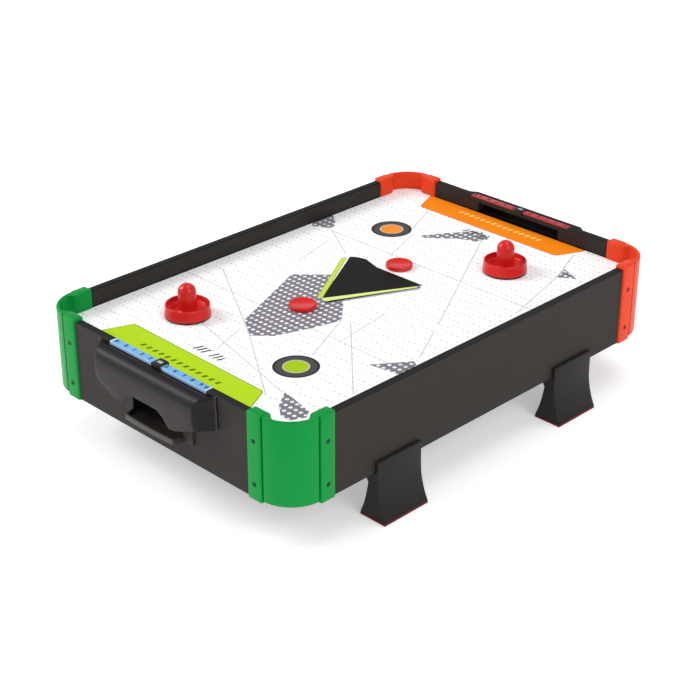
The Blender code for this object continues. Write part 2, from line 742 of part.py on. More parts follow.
# ---- mallets and pucks ------------------------------------------------------------------------
def mallet_mesh():
    """A hollow striker: dished ring with a domed knob."""
    knob = 8.5
    top = MALLET_HEIGHT / MM
    dome = [(x, top - knob + z) for x, z in arc((0, 0), knob, 90, 0, 5)]
    dish = [(8.6, 7), (10.6, 4.4), (17.2, 4.4), (19.2, 9.6), (20, 10.4), (20.5, 9.6)]
    skirt = [(20.9, 2.8), (21.3, 1.8), (21.3, 0), (19.4, 0), (18.8, 2.2), (8.6, 2.2), (6.6, 5)]
    hollow = [(x, top - knob + z) for x, z in arc((0, 0), knob - 2, 0, 90, 3)]
    profile = [(max(x, 0) * MM, z * MM) for x, z in dome + dish + skirt + hollow]
    profile[0] = (0, profile[0][1])
    profile[-1] = (0, profile[-1][1])
    return turned_mesh(profile, 20)


def make_mallets():
    mesh = mallet_mesh()
    outer = MALLET_RADIUS - 0.2 * MM
    inner = MALLET_RADIUS - 6 * MM
    ring = [(inner, FELT_THICKNESS), (outer, FELT_THICKNESS), (outer, 0), (inner, 0)]
    felt = turned_mesh(ring, 20, closed=True)
    for name, (x, y) in (("near", MALLET_NEAR), ("far", MALLET_FAR)):
        base = PLAYFIELD_TOP + GAP
        add_object("mallet_pad_" + name, felt, FELT, (x, y, base))
        add_object("mallet_" + name, mesh, MALLET_RED, (x, y, base + FELT_THICKNESS + GAP))


def make_pucks():
    edge = 0.7 * MM
    profile = [
        (0, PUCK_THICKNESS),
        (PUCK_RADIUS - edge, PUCK_THICKNESS),
        (PUCK_RADIUS, PUCK_THICKNESS - edge),
        (PUCK_RADIUS, edge),
        (PUCK_RADIUS - edge, 0),
        (0, 0),
    ]
    mesh = turned_mesh(profile, 24)
    for name, (x, y) in (("near", PUCK_NEAR), ("far", PUCK_FAR)):
        add_object("puck_" + name, mesh, MALLET_RED, (x, y, PLAYFIELD_TOP + GAP))


# ---- fan --------------------------------------------------------------------------------------
HOUSING_TOP = 82 * MM
HOUSING_INNER = FAN_RADIUS + 4 * MM
MOTOR_RADIUS = 10.3 * MM
MOTOR_BOTTOM = 83.7 * MM
MOTOR_TOP = 102 * MM


def make_fan_housing():
    low = PANEL_TOP + GAP
    wall = HOUSING_INNER + 2 * MM
    flange = HOUSING_INNER + 8 * MM
    step = low + 2 * MM
    ring = [
        (HOUSING_INNER, HOUSING_TOP),
        (wall, HOUSING_TOP),
        (wall, step),
        (flange, step),
        (flange, low),
        (HOUSING_INNER, low),
    ]
    housing = add_object("fan_housing", turned_mesh(ring, 32, closed=True), MOULDED_BLACK)
    floor = MOTOR_BOTTOM - GAP
    cup_top = 92 * MM
    cup = [
        (MOTOR_RADIUS + GAP, cup_top),
        (MOTOR_RADIUS + 2.1 * MM, cup_top),
        (MOTOR_RADIUS + 2.1 * MM, floor - 3.4 * MM),
        (4 * MM, floor - 3.4 * MM),
        (4 * MM, floor),
        (MOTOR_RADIUS + GAP, floor),
    ]
    arms = []
    for number in range(3):
        low_corner = (MOTOR_RADIUS + 1 * MM, -2.5 * MM, HOUSING_TOP - 1.8 * MM)
        high_corner = (HOUSING_INNER + 1 * MM, 2.5 * MM, HOUSING_TOP - 0.2 * MM)
        arm = box_mesh(low_corner, high_corner)
        arm.transform(Matrix.Rotation(math.radians(120 * number), 4, "Z"))
        arms.append(arm)
    join(housing, add_tool("motor_cup", turned_mesh(cup, 24, closed=True)))
    join(housing, add_tool("housing_arms", join_mesh("arms", *arms)))


def make_motor():
    shaft_end = 69 * MM
    profile = [
        (0, MOTOR_TOP),
        (MOTOR_RADIUS - 1 * MM, MOTOR_TOP),
        (MOTOR_RADIUS, MOTOR_TOP - 1 * MM),
        (MOTOR_RADIUS, MOTOR_BOTTOM),
        (3 * MM, MOTOR_BOTTOM),
        (3 * MM, MOTOR_BOTTOM - 2 * MM),
        (1 * MM, MOTOR_BOTTOM - 2 * MM),
        (1 * MM, shaft_end),
        (0, shaft_end),
    ]
    add_object("motor", turned_mesh(profile, 20), MOTOR_STEEL)


def make_impeller():
    low = 63 * MM
    high = 77 * MM
    bore = 68 * MM
    hub = [
        (1.4 * MM, high),
        (7 * MM, high),
        (8 * MM, high - 1 * MM),
        (8 * MM, low),
        (0, low - 1 * MM),
    ]
    well = [(0, bore), (1.4 * MM, bore)]
    impeller = add_object("fan_impeller", turned_mesh(well + hub, 20), MOULDED_BLACK)
    blades = []
    for number in range(7):
        blade = box_mesh((6.5 * MM, -0.6 * MM, -6 * MM), (FAN_RADIUS, 0.6 * MM, 6 * MM))
        pitch = Matrix.Rotation(math.radians(35), 4, "X")
        spread = Matrix.Rotation(math.radians(360 * number / 7), 4, "Z")
        blade.transform(spread @ Matrix.Translation((0, 0, (low + high) / 2)) @ pitch)
        blades.append(blade)
    join(impeller, add_tool("blades", join_mesh("blades", *blades)))


def make_fan_guard():
    """A flat grille over the intake: rings joined by four bars."""
    high = PANEL_BOTTOM - GAP
    low = high - 2 * MM
    rings = []
    for inner, outer in ((28 * MM, 35 * MM), (17.5 * MM, 20 * MM), (7 * MM, 9.5 * MM)):
        profile = [(inner, high), (outer, high), (outer, low), (inner, low)]
        rings.append(turned_mesh(profile, 24, closed=True))
    guard = add_object("fan_guard", rings[0], MOULDED_BLACK)
    bars = []
    for degrees in (0, 90):
        bar = box_mesh((-30 * MM, -1.5 * MM, low + 0.3 * MM), (30 * MM, 1.5 * MM, high - 0.3 * MM))
        bar.transform(Matrix.Rotation(math.radians(degrees), 4, "Z"))
        bars.append(bar)
    for number, bar in enumerate(bars):
        join(guard, add_tool("guard_bar_%d" % number, bar))
    join(guard, add_tool("guard_rings", join_mesh("rings", rings[1], rings[2])))


# ---- batteries --------------------------------------------------------------------------------
BOX_LOW = PANEL_TOP + GAP
BATTERY_HEIGHT = BOX_LOW + 0.6 * MM + BATTERY_RADIUS
DOOR_SCREW = (BATTERY_BAY[0], BATTERY_BAY[1] + 33.2 * MM)


def bay_box(half_x, half_y, low, high):
    x, y = BATTERY_BAY
    return box_mesh((x - half_x, y - half_y, low), (x + half_x, y + half_y, high))


def make_battery_box():
    top = BATTERY_HEIGHT + BATTERY_RADIUS + 1.2 * MM
    case = add_object("battery_box", bay_box(31.8 * MM, 29.1 * MM, BOX_LOW, top + 1.6 * MM), MOULDED_BLACK)
    flange = bay_box(36 * MM, 34 * MM, BOX_LOW + 0.1 * MM, BOX_LOW + 1.7 * MM)
    x, y = DOOR_SCREW
    boss_low = (x - 6 * MM, y - 6 * MM, BOX_LOW + 0.05 * MM)
    boss_high = (x + 6 * MM, y + 6 * MM, BOX_LOW + 11 * MM)
    join(case, add_tool("box_flange", flange), add_tool("box_boss", box_mesh(boss_low, boss_high)))
    inside = bay_box(30.2 * MM, 27.5 * MM, BOX_LOW - 1 * MM, top)
    pilot = cylinder_mesh(1.4 * MM, BOX_LOW - 1 * MM, BOX_LOW + 9 * MM, 12)
    cut(case, add_tool("box_inside", inside), add_tool("box_pilot", pilot, (x, y, 0)))


def make_batteries():
    nub = 2.7 * MM
    length = BATTERY_LENGTH / 2
    profile = [
        (0, length + 1.4 * MM),
        (nub, length + 1.4 * MM),
        (nub, length),
        (BATTERY_RADIUS - 0.6 * MM, length),
        (BATTERY_RADIUS, length - 0.6 * MM),
        (BATTERY_RADIUS, -length),
        (0, -length),
    ]
    mesh = turned_mesh(profile, 14)
    for number in range(4):
        x = BATTERY_BAY[0] + (number - 1.5) * BATTERY_PITCH
        flip = math.pi / 2 if number % 2 else -math.pi / 2
        place = (x, BATTERY_BAY[1], BATTERY_HEIGHT)
        add_object("battery_%d" % (number + 1), mesh, CELL, place, (flip, 0, 0))


def make_battery_door():
    high = PANEL_BOTTOM + 2.5 * MM
    outline = battery_opening(GAP)
    door = add_object("battery_door", plate_mesh(outline, PANEL_BOTTOM, high), MOULDED_BLACK)
    x, y = DOOR_SCREW
    sink = cylinder_mesh(2.9 * MM, PANEL_BOTTOM - 1 * MM, PANEL_BOTTOM + 1.3 * MM, 16)
    through = cylinder_mesh(1.4 * MM, PANEL_BOTTOM - 1 * MM, high + 1 * MM, 12)
    cut(door, add_tool("door_sink", sink, (x, y, 0)), add_tool("door_through", through, (x, y, 0)))
    screw = screw_mesh(2.5 * MM, 0.9 * MM, 1.1 * MM, 8 * MM)
    add_object("door_screw", screw, STEEL, (x, y, PANEL_BOTTOM + 1 * MM), (math.pi, 0, 0))


# ---- switch -----------------------------------------------------------------------------------
def make_switch():
    """A rocker switch through the left rail; its bezel lies on the rail's outer face."""
    face = -SIDE_FACE
    low = (face, SWITCH_PLACE - 9.2 * MM, SWITCH_HEIGHT - 6.2 * MM)
    high = (face + 12 * MM, SWITCH_PLACE + 9.2 * MM, SWITCH_HEIGHT + 6.2 * MM)
    body = add_object("switch_body", box_mesh(low, high), MOULDED_BLACK)
    bezel_low = (face - 1.8 * MM, SWITCH_PLACE - 11.5 * MM, SWITCH_HEIGHT - 8 * MM)
    bezel_high = (face - GAP, SWITCH_PLACE + 11.5 * MM, SWITCH_HEIGHT + 8 * MM)
    neck_low = (face - 1 * MM, SWITCH_PLACE - 9 * MM, SWITCH_HEIGHT - 6 * MM)
    neck_high = (face + 1 * MM, SWITCH_PLACE + 9 * MM, SWITCH_HEIGHT + 6 * MM)
    bezel = add_tool("switch_bezel", box_mesh(bezel_low, bezel_high))
    bevel(bezel, 0.5 * MM, 1)
    join(body, bezel, add_tool("switch_neck", box_mesh(neck_low, neck_high)))
    well_low = (face - 3 * MM, SWITCH_PLACE - 7.2 * MM, SWITCH_HEIGHT - 4.6 * MM)
    well_high = (face + 8 * MM, SWITCH_PLACE + 7.2 * MM, SWITCH_HEIGHT + 4.6 * MM)
    cut(body, add_tool("switch_well", box_mesh(well_low, well_high)))
    front = [(-6.5, -4.2), (0, -2.6), (6.5, -4.2)]
    back = [(6.5, -0.4), (2.6, 3.4), (-2.6, 3.4), (-6.5, -0.4)]
    outline = [(x * MM, y * MM) for y, x in reversed(front + back)]
    rocker = plate_mesh(outline, -4.2 * MM, 4.2 * MM)
    place = (face + 1.2 * MM, SWITCH_PLACE, SWITCH_HEIGHT)
    add_object("switch_rocker", rocker, MOULDED_BLACK, place, (0, 0, ROCKER_TILT))


# ---- build ------------------------------------------------------------------------------------
make_playfield()
make_bottom_panel()
make_side_rails()
make_end_rails()
make_corners()
make_goal_boxes()
make_score_strips()
make_legs()
make_mallets()
make_pucks()
make_fan_housing()
make_motor()
make_impeller()
make_fan_guard()
make_battery_box()
make_batteries()
make_battery_door()
make_switch()
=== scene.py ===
"""Tabletop air hockey: finished pieces, materials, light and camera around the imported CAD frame.

Shapes are drawn in millimetres and scaled to metres as they are placed.  X runs across the rink, Y
along it with the green end at -Y, and Z = 0 is the surface that the feet stand on.
"""

import math

import bmesh
import bpy
from mathutils import Matrix, Vector


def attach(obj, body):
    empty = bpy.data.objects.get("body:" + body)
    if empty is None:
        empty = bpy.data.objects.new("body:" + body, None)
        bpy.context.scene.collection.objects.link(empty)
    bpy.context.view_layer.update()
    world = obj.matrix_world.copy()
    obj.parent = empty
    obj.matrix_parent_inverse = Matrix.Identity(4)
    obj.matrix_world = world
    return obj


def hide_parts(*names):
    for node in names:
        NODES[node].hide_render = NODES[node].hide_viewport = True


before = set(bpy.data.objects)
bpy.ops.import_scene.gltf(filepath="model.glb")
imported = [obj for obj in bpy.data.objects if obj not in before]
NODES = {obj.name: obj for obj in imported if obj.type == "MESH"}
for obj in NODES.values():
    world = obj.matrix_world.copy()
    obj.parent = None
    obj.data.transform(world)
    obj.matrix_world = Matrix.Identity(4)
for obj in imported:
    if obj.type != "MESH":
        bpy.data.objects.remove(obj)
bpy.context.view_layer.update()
SCENE = bpy.context.scene

# ---- dimensions, in millimetres -----------------------------------------------------------------
MM = 0.001
GAP = 0.3
BODY_WIDTH = 325
BODY_LENGTH = 482
HALF_WIDTH = BODY_WIDTH / 2
HALF_LENGTH = BODY_LENGTH / 2
BODY_BOTTOM = 47
RAIL_TOP = 124.3
RAIL_THICKNESS = 8
COLLAR_PROUD = 1.5
RAIL_INNER = COLLAR_PROUD + RAIL_THICKNESS
END_FACE = HALF_LENGTH - COLLAR_PROUD
SIDE_FACE = HALF_WIDTH - COLLAR_PROUD
PLAYFIELD_TOP = 108
COLLAR_START = 34
COLLAR_END = 50.5
COLLAR_INNER = RAIL_INNER + COLLAR_PROUD
COLLAR_BOTTOM = BODY_BOTTOM - 1
COLLAR_TOP = 127
ARC_CENTRE = 35
SHELL_RADIUS = 34
SHELL_THICKNESS = 3
WEB = 2
TONGUE_OUTER = COLLAR_PROUD + 1
TONGUE_INNER = RAIL_INNER - 1
SCREW_FROM_CORNER = 42
SCREW_HEIGHTS = (14.5, 54.5)
POCKET_HALF = 44
POCKET_WALL = 1.6
POCKET_OUTER = POCKET_HALF + POCKET_WALL
POCKET_BOTTOM = 66
POCKET_TOP = 95.7
POCKET_DEPTH = 28
MOUTH_HALF = 33
MOUTH_FRONT = -1.9
TRAY_REACH = 12.6
TRAY_NARROWING = 4
TRAY_RIM = 4
STRIP_HALF = 63
STRIP_TOP = RAIL_TOP - 0.1
STRIP_BOTTOM = STRIP_TOP - 1.6
STRIP_LIP_BOTTOM = STRIP_TOP - 3.4
SLIDER_HALF = 5.6
LEG_CENTRE = 117
LEG_WIDTH = 53
PAD_HEIGHT = 2.4
MALLET_NEAR = (-79, -139)
MALLET_FAR = (61.6, 138)
PUCK_NEAR = (-17.4, -54)
PUCK_FAR = (-15.7, 73)
FELT_THICKNESS = 1
CELL_MIDDLE = 140

SCRATCH = bpy.data.collections.new("scratch")
SCENE.collection.children.link(SCRATCH)


# ---- shapes -------------------------------------------------------------------------------------
def scratch_object(mesh):
    item = bpy.data.objects.new("scratch", mesh)
    SCRATCH.objects.link(item)
    return item


def evaluated(item):
    """The finished mesh of a scratch object."""
    graph = bpy.context.evaluated_depsgraph_get()
    graph.update()
    return bpy.data.meshes.new_from_object(item.evaluated_get(graph))


def rounded(mesh, width, segments=3, angle=40):
    """The mesh with its sharp edges rounded."""
    item = scratch_object(mesh)
    step = item.modifiers.new("round", "BEVEL")
    step.width = width
    step.segments = segments
    step.limit_method = "ANGLE"
    step.angle_limit = math.radians(angle)
    made = evaluated(item)
    bpy.data.objects.remove(item)
    return made


def combined(base, *steps):
    """The base mesh after Boolean steps, each a mesh and UNION or DIFFERENCE."""
    item = scratch_object(base)
    tools = []
    for mesh, operation in steps:
        tool = scratch_object(mesh)
        tools.append(tool)
        step = item.modifiers.new("combine", "BOOLEAN")
        step.operation = operation
        step.solver = "EXACT"
        step.object = tool
    made = evaluated(item)
    for used in (item, *tools):
        bpy.data.objects.remove(used)
    return made


def shape_mesh(build):
    """A mesh from a function that fills a bmesh."""
    mesh = bpy.data.meshes.new("shape")
    shape = bmesh.new()
    build(shape)
    bmesh.ops.recalc_face_normals(shape, faces=shape.faces)
    shape.to_mesh(mesh)
    shape.free()
    return mesh


def box_mesh(low, high):
    low = Vector(low)
    high = Vector(high)

    def build(shape):
        bmesh.ops.create_cube(shape, size=1)
        bmesh.ops.scale(shape, vec=high - low, verts=shape.verts)
        bmesh.ops.translate(shape, vec=(low + high) / 2, verts=shape.verts)

    return shape_mesh(build)


def prism_mesh(outline, low, high):
    """A flat outline in XY, made solid between two heights."""

    def build(shape):
        floor = [shape.verts.new((x, y, low)) for x, y in outline]
        face = shape.faces.new(floor)
        grown = bmesh.ops.extrude_face_region(shape, geom=[face])
        raised = [part for part in grown["geom"] if isinstance(part, bmesh.types.BMVert)]
        bmesh.ops.translate(shape, vec=(0, 0, high - low), verts=raised)

    return shape_mesh(build)


def turned_mesh(profile, steps, closed=False):
    """A profile of (radius, height) points turned about Z."""
    points = [*profile, profile[0]] if closed else profile

    def build(shape):
        verts = [shape.verts.new((radius, 0, height)) for radius, height in points]
        edges = [shape.edges.new(pair) for pair in zip(verts, verts[1:])]
        bmesh.ops.spin(
            shape,
            geom=verts + edges,
            cent=(0, 0, 0),
            axis=(0, 0, 1),
            angle=2 * math.pi,
            steps=steps,
            use_merge=True,
        )
        bmesh.ops.remove_doubles(shape, verts=shape.verts, dist=0.001)

    return shape_mesh(build)


def loft_mesh(sections, paired=False):
    """A solid through closed sections; its ends have one face, or faces between paired points."""

    def build(shape):
        loops = [[shape.verts.new(point) for point in section] for section in sections]
        for first, second in zip(loops, loops[1:]):
            for number in range(len(first)):
                after = (number + 1) % len(first)
                shape.faces.new((first[number], second[number], second[after], first[after]))
        for loop in (loops[0], loops[-1]):
            if paired:
                for number in range(len(loop) // 2 - 1):
                    other = -1 - number
                    shape.faces.new((loop[number], loop[number + 1], loop[other - 1], loop[other]))
            else:
                shape.faces.new(loop)

    return shape_mesh(build)


def grid_mesh(rows):
    """A sheet through rows of points."""

    def build(shape):
        lines = [[shape.verts.new(point) for point in row] for row in rows]
        for upper, lower in zip(lines, lines[1:]):
            for column in range(len(upper) - 1):
                shape.faces.new((upper[column], lower[column], lower[column + 1], upper[column + 1]))

    return shape_mesh(build)


def joined(*meshes):
    """Several meshes as the loose parts of one."""

    def build(shape):
        for mesh in meshes:
            shape.from_mesh(mesh)

    return shape_mesh(build)


def moved(mesh, place=(0, 0, 0), angle=0, axis="Z"):
    """The mesh turned by some degrees about an axis and then moved."""
    mesh.transform(Matrix.Translation(place) @ Matrix.Rotation(math.radians(angle), 4, axis))
    return mesh


def arc(centre, radius, start, stop, steps):
    """Points on an arc, its angles in degrees."""
    points = []
    for step in range(steps + 1):
        angle = math.radians(start + (stop - start) * step / steps)
        points.append((centre[0] + radius * math.cos(angle), centre[1] + radius * math.sin(angle)))
    return points


def curve_through(points, steps):
    """Points on a smooth curve (Catmull-Rom) through the given ones."""
    ends = [points[0], *points, points[-1]]
    found = []
    for before, start, stop, after in zip(ends, ends[1:], ends[2:], ends[3:]):
        for step in range(steps):
            t = step / steps
            spot = []
            for p, q, r, s in zip(before, start, stop, after):
                square = (2 * p - 5 * q + 4 * r - s) * t**2
                cube = (3 * q - p - 3 * r + s) * t**3
                spot.append(0.5 * (2 * q + (r - p) * t + square + cube))
            found.append(tuple(spot))
    return [*found, tuple(points[-1])]


def smooth_step(share):
    share = min(1, max(0, share))
    return share * share * (3 - 2 * share)


def finished(mesh, angle=32):
    """A mesh in metres, shaded smooth except at its sharp edges."""
    mesh.transform(Matrix.Scale(MM, 4))
    mesh.materials.clear()
    mesh.shade_smooth()
    mesh.set_sharp_from_angle(angle=math.radians(angle))
    return mesh


def add_piece(name, mesh, look, slot, body, stands_for=(), place=(0, 0, 0), turn=(0, 0, 0)):
    """A finished mesh as a piece of the object, its place in millimetres."""
    item = bpy.data.objects.new(name, mesh)
    SCENE.collection.objects.link(item)
    item.location = Vector(place) * MM
    item.rotation_euler = turn
    if not mesh.materials:
        mesh.materials.append(look)
    item.material_slots[0].link = "OBJECT"
    item.material_slots[0].material = look
    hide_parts(*stands_for)
    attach(item, body)
    return item


# ---- materials ----------------------------------------------------------------------------------
def linear(red, green, blue):
    """A screen colour, from 0 to 255, in scene values."""
    levels = []
    for level in (red, green, blue):
        share = level / 255
        levels.append(share / 12.92 if share <= 0.04045 else ((share + 0.055) / 1.055) ** 2.4)
    return (*levels, 1.0)


def shaded(color, share):
    return (*(min(1, level * share) for level in color[:3]), 1.0)


class Paint:
    """A material and its nodes.  Its place is the point on the surface, in millimetres."""

    def __init__(self, name, **constants):
        self.material = bpy.data.materials.new(name)
        self.material.use_nodes = True
        self.tree = self.material.node_tree
        self.shader = self.tree.nodes["Principled BSDF"]
        for label, value in constants.items():
            self.shader.inputs[label.replace("_", " ")].default_value = value
        spot = self.tree.nodes.new("ShaderNodeTexCoord").outputs["Object"]
        self.place = self.vector("MULTIPLY", spot, (1000, 1000, 1000))
        parts = self.tree.nodes.new("ShaderNodeSeparateXYZ")
        self.put(parts.inputs[0], self.place)
        self.x, self.y, self.z = parts.outputs

    def put(self, slot, value):
        if isinstance(value, bpy.types.NodeSocket):
            self.tree.links.new(value, slot)
        else:
            slot.default_value = value

    def set(self, **values):
        for label, value in values.items():
            self.put(self.shader.inputs[label.replace("_", " ")], value)

    def math(self, operation, *values, clamp=False):
        node = self.tree.nodes.new("ShaderNodeMath")
        node.operation = operation
        node.use_clamp = clamp
        for slot, value in zip(node.inputs, values):
            self.put(slot, value)
        return node.outputs[0]

    def vector(self, operation, *values):
        node = self.tree.nodes.new("ShaderNodeVectorMath")
        node.operation = operation
        for slot, value in zip(node.inputs, values):
            self.put(slot, value)
        return node.outputs["Value" if operation in ("DOT_PRODUCT", "LENGTH") else "Vector"]

    def mix(self, low, high, share):
        node = self.tree.nodes.new("ShaderNodeMix")
        node.data_type = "RGBA"
        self.put(node.inputs[0], share)
        self.put(node.inputs[6], low)
        self.put(node.inputs[7], high)
        return node.outputs[2]

    def noise(self, pitch, detail=2, place=None):
        node = self.tree.nodes.new("ShaderNodeTexNoise")
        self.put(node.inputs["Vector"], place or self.place)
        node.inputs["Scale"].default_value = 1 / pitch
        node.inputs["Detail"].default_value = detail
        return node.outputs[0]

    def bump(self, height, depth):
        """Lets the height, from 0 to 1, tilt the surface as if it were that many millimetres deep."""
        node = self.tree.nodes.new("ShaderNodeBump")
        self.put(node.inputs["Height"], height)
        node.inputs["Distance"].default_value = depth * MM
        self.put(self.shader.inputs["Normal"], node.outputs[0])

    def inside(self, distance, blur=0.25):
        """1 where the distance is below 0, with an edge of some millimetres."""
        return self.math("MULTIPLY_ADD", distance, -1 / blur, 0.5, clamp=True)

    def level(self, normal, offset):
        """How far the point lies beyond a line across the playing panel."""
        return self.vector("DOT_PRODUCT", self.flat, (normal[0], normal[1], -offset))

    def within(self, points, corner=0):
        """Distance outside a convex outline, given anticlockwise, with rounded corners."""
        farthest = None
        for (x, y), (next_x, next_y) in zip(points, [*points[1:], points[0]]):
            length = math.hypot(next_x - x, next_y - y)
            normal = ((next_y - y) / length, (x - next_x) / length)
            beyond = self.level(normal, normal[0] * x + normal[1] * y)
            if farthest is None:
                farthest = beyond
            elif corner:
                farthest = self.math("SMOOTH_MAX", farthest, beyond, corner)
            else:
                farthest = self.math("MAXIMUM", farthest, beyond)
        return farthest

    def stroke(self, start, stop, width):
        """Distance outside a straight band between two points."""
        length = math.hypot(stop[0] - start[0], stop[1] - start[1])
        along = ((stop[0] - start[0]) / length, (stop[1] - start[1]) / length)
        across = (-along[1], along[0])
        beside = self.level(across, across[0] * start[0] + across[1] * start[1])
        middle = along[0] * (start[0] + stop[0]) / 2 + along[1] * (start[1] + stop[1]) / 2
        beyond = self.math("ABSOLUTE", self.level(along, middle))
        beyond = self.math("SUBTRACT", beyond, length / 2)
        beside = self.math("SUBTRACT", self.math("ABSOLUTE", beside), width / 2)
        return self.math("MAXIMUM", beside, beyond)

    def disc(self, centre):
        """Distance from a point on the playing panel."""
        return self.vector("LENGTH", self.vector("SUBTRACT", self.flat, (*centre, 1)))

    def nearest(self, distances):
        closest = distances[0]
        for distance in distances[1:]:
            closest = self.math("MINIMUM", closest, distance)
        return closest


def moulded(name, color, roughness, depth=0.01, drift=0.05, specular=0.5):
    """Moulded plastic: a fine grain, and a slow drift in its colour and gloss."""
    paint = Paint(name, Specular_IOR_Level=specular)
    cloud = paint.noise(45, 3)
    grain = paint.noise(0.55, 3)
    tone = paint.mix(shaded(color, 1 - drift), shaded(color, 1 + drift), cloud)
    speck = paint.math("MULTIPLY", grain, 0.12)
    paint.set(Base_Color=paint.mix(tone, shaded(color, 0.6), speck))
    paint.set(Roughness=paint.math("MULTIPLY_ADD", cloud, 0.1, roughness - 0.05))
    paint.bump(grain, depth)
    return paint.material


def goal_moulding():
    """Black satin plastic, smoother on its brow, with painted shade on the brow and the hood's ends,
    painted light inside the pocket and a painted highlight on the tray's rim.
    """
    brow_from, brow_blend = 110, 5
    end_from, end_blend = 62.5, 1.5
    paint = Paint("goal_moulding", Specular_IOR_Level=0.2)
    cloud = paint.noise(45, 3)
    grain = paint.noise(0.6, 3)
    # The brow mask sets both the painted shade on the brow and its smoother gloss.
    brow = paint.math("MULTIPLY_ADD", paint.z, 1 / brow_blend, -brow_from / brow_blend, clamp=True)
    along = paint.math("ABSOLUTE", paint.x)
    ends = paint.math("MULTIPLY_ADD", along, 1 / end_blend, -end_from / end_blend, clamp=True)
    low = paint.math("LESS_THAN", paint.z, POCKET_BOTTOM + TRAY_RIM + 1)
    outer = paint.math("LESS_THAN", paint.y, POCKET_WALL - TRAY_REACH)
    rim = paint.math("MULTIPLY", low, outer)
    inside = paint.math("GREATER_THAN", paint.y, MOUTH_FRONT + 0.2)
    tone = paint.mix(linear(43, 39, 37), linear(50, 46, 43), cloud)
    # Painted shade: the brow and the hood's ends are mixed towards a darker tone.
    tone = paint.mix(tone, linear(22, 19, 20), paint.math("MAXIMUM", brow, ends))
    # Painted light: the inside of the pocket is mixed towards a lighter grey to lift its shade.
    tone = paint.mix(tone, linear(62, 57, 53), inside)
    # Painted highlight: the tray's rim, low and out in front, is mixed towards a paler grey.
    tone = paint.mix(tone, linear(84, 82, 79), rim)
    paint.set(Base_Color=paint.mix(tone, linear(20, 18, 17), paint.math("MULTIPLY", grain, 0.15)))
    paint.set(Roughness=paint.math("MULTIPLY_ADD", brow, -0.12, 0.55))
    paint.bump(grain, 0.02)
    return paint.material


def rail_foil():
    """Black foil with a fine diagonal weave, with painted shade: its top face is darkened and nearly
    black along its inner edge, and its bottom edge and inner faces just above the panel are painted near
    black.
    """
    pitch = 3.6
    face_depth = 2
    shade_line_from_face = RAIL_THICKNESS - 2.2
    paint = Paint("rail_foil", Specular_IOR_Level=0.16)
    along = paint.math("ADD", paint.x, paint.y)
    rising = paint.math("FRACT", paint.math("MULTIPLY", paint.math("ADD", along, paint.z), 1 / pitch))
    falling = paint.math("SUBTRACT", along, paint.z)
    falling = paint.math("FRACT", paint.math("MULTIPLY", falling, 1 / pitch))
    first = paint.math("PINGPONG", rising, 0.5)
    second = paint.math("PINGPONG", falling, 0.5)
    weave = paint.math("MAXIMUM", first, paint.math("MULTIPLY", second, 0.7))
    cloud = paint.noise(60, 3)
    fibre = paint.noise(0.8, 2)
    tone = paint.mix(linear(38, 34, 32), linear(47, 43, 40), cloud)
    tone = paint.mix(tone, linear(62, 57, 54), paint.math("MULTIPLY", weave, 0.5))
    tone = paint.mix(tone, linear(26, 23, 22), paint.math("MULTIPLY", fibre, 0.25))
    # Painted shade: the top face is darkened, nearly black along its inner edge; the bottom edge and the
    # inner faces just above the panel are painted near black too.
    top = paint.math("GREATER_THAN", paint.z, RAIL_TOP - 0.5)
    bottom = paint.math("LESS_THAN", paint.z, BODY_BOTTOM + 0.8)
    near_panel = paint.math("LESS_THAN", paint.z, PLAYFIELD_TOP + 1.3)
    across = paint.math("ABSOLUTE", paint.x)
    lengthways = paint.math("ABSOLUTE", paint.y)
    inner_x = paint.math("LESS_THAN", across, SIDE_FACE - face_depth)
    inner_y = paint.math("LESS_THAN", lengthways, END_FACE - face_depth)
    inner = paint.math("MULTIPLY", near_panel, paint.math("MULTIPLY", inner_x, inner_y))
    edge = paint.math("MAXIMUM", paint.math("MAXIMUM", top, bottom), inner)
    past_x = paint.math("GREATER_THAN", across, SIDE_FACE - shade_line_from_face)
    past_y = paint.math("GREATER_THAN", lengthways, END_FACE - shade_line_from_face)
    outer_top = paint.math("MULTIPLY", top, paint.math("MAXIMUM", past_x, past_y))
    # Mixes in the painted shade on the top, the bottom edge and the inner faces.
    tone = paint.mix(tone, linear(5, 5, 5), edge)
    paint.set(Base_Color=paint.mix(tone, linear(26, 25, 25), outer_top))
    paint.set(Roughness=paint.math("MULTIPLY_ADD", weave, -0.16, 0.6))
    paint.bump(paint.math("MULTIPLY_ADD", fibre, 0.3, weave), 0.04)
    return paint.material


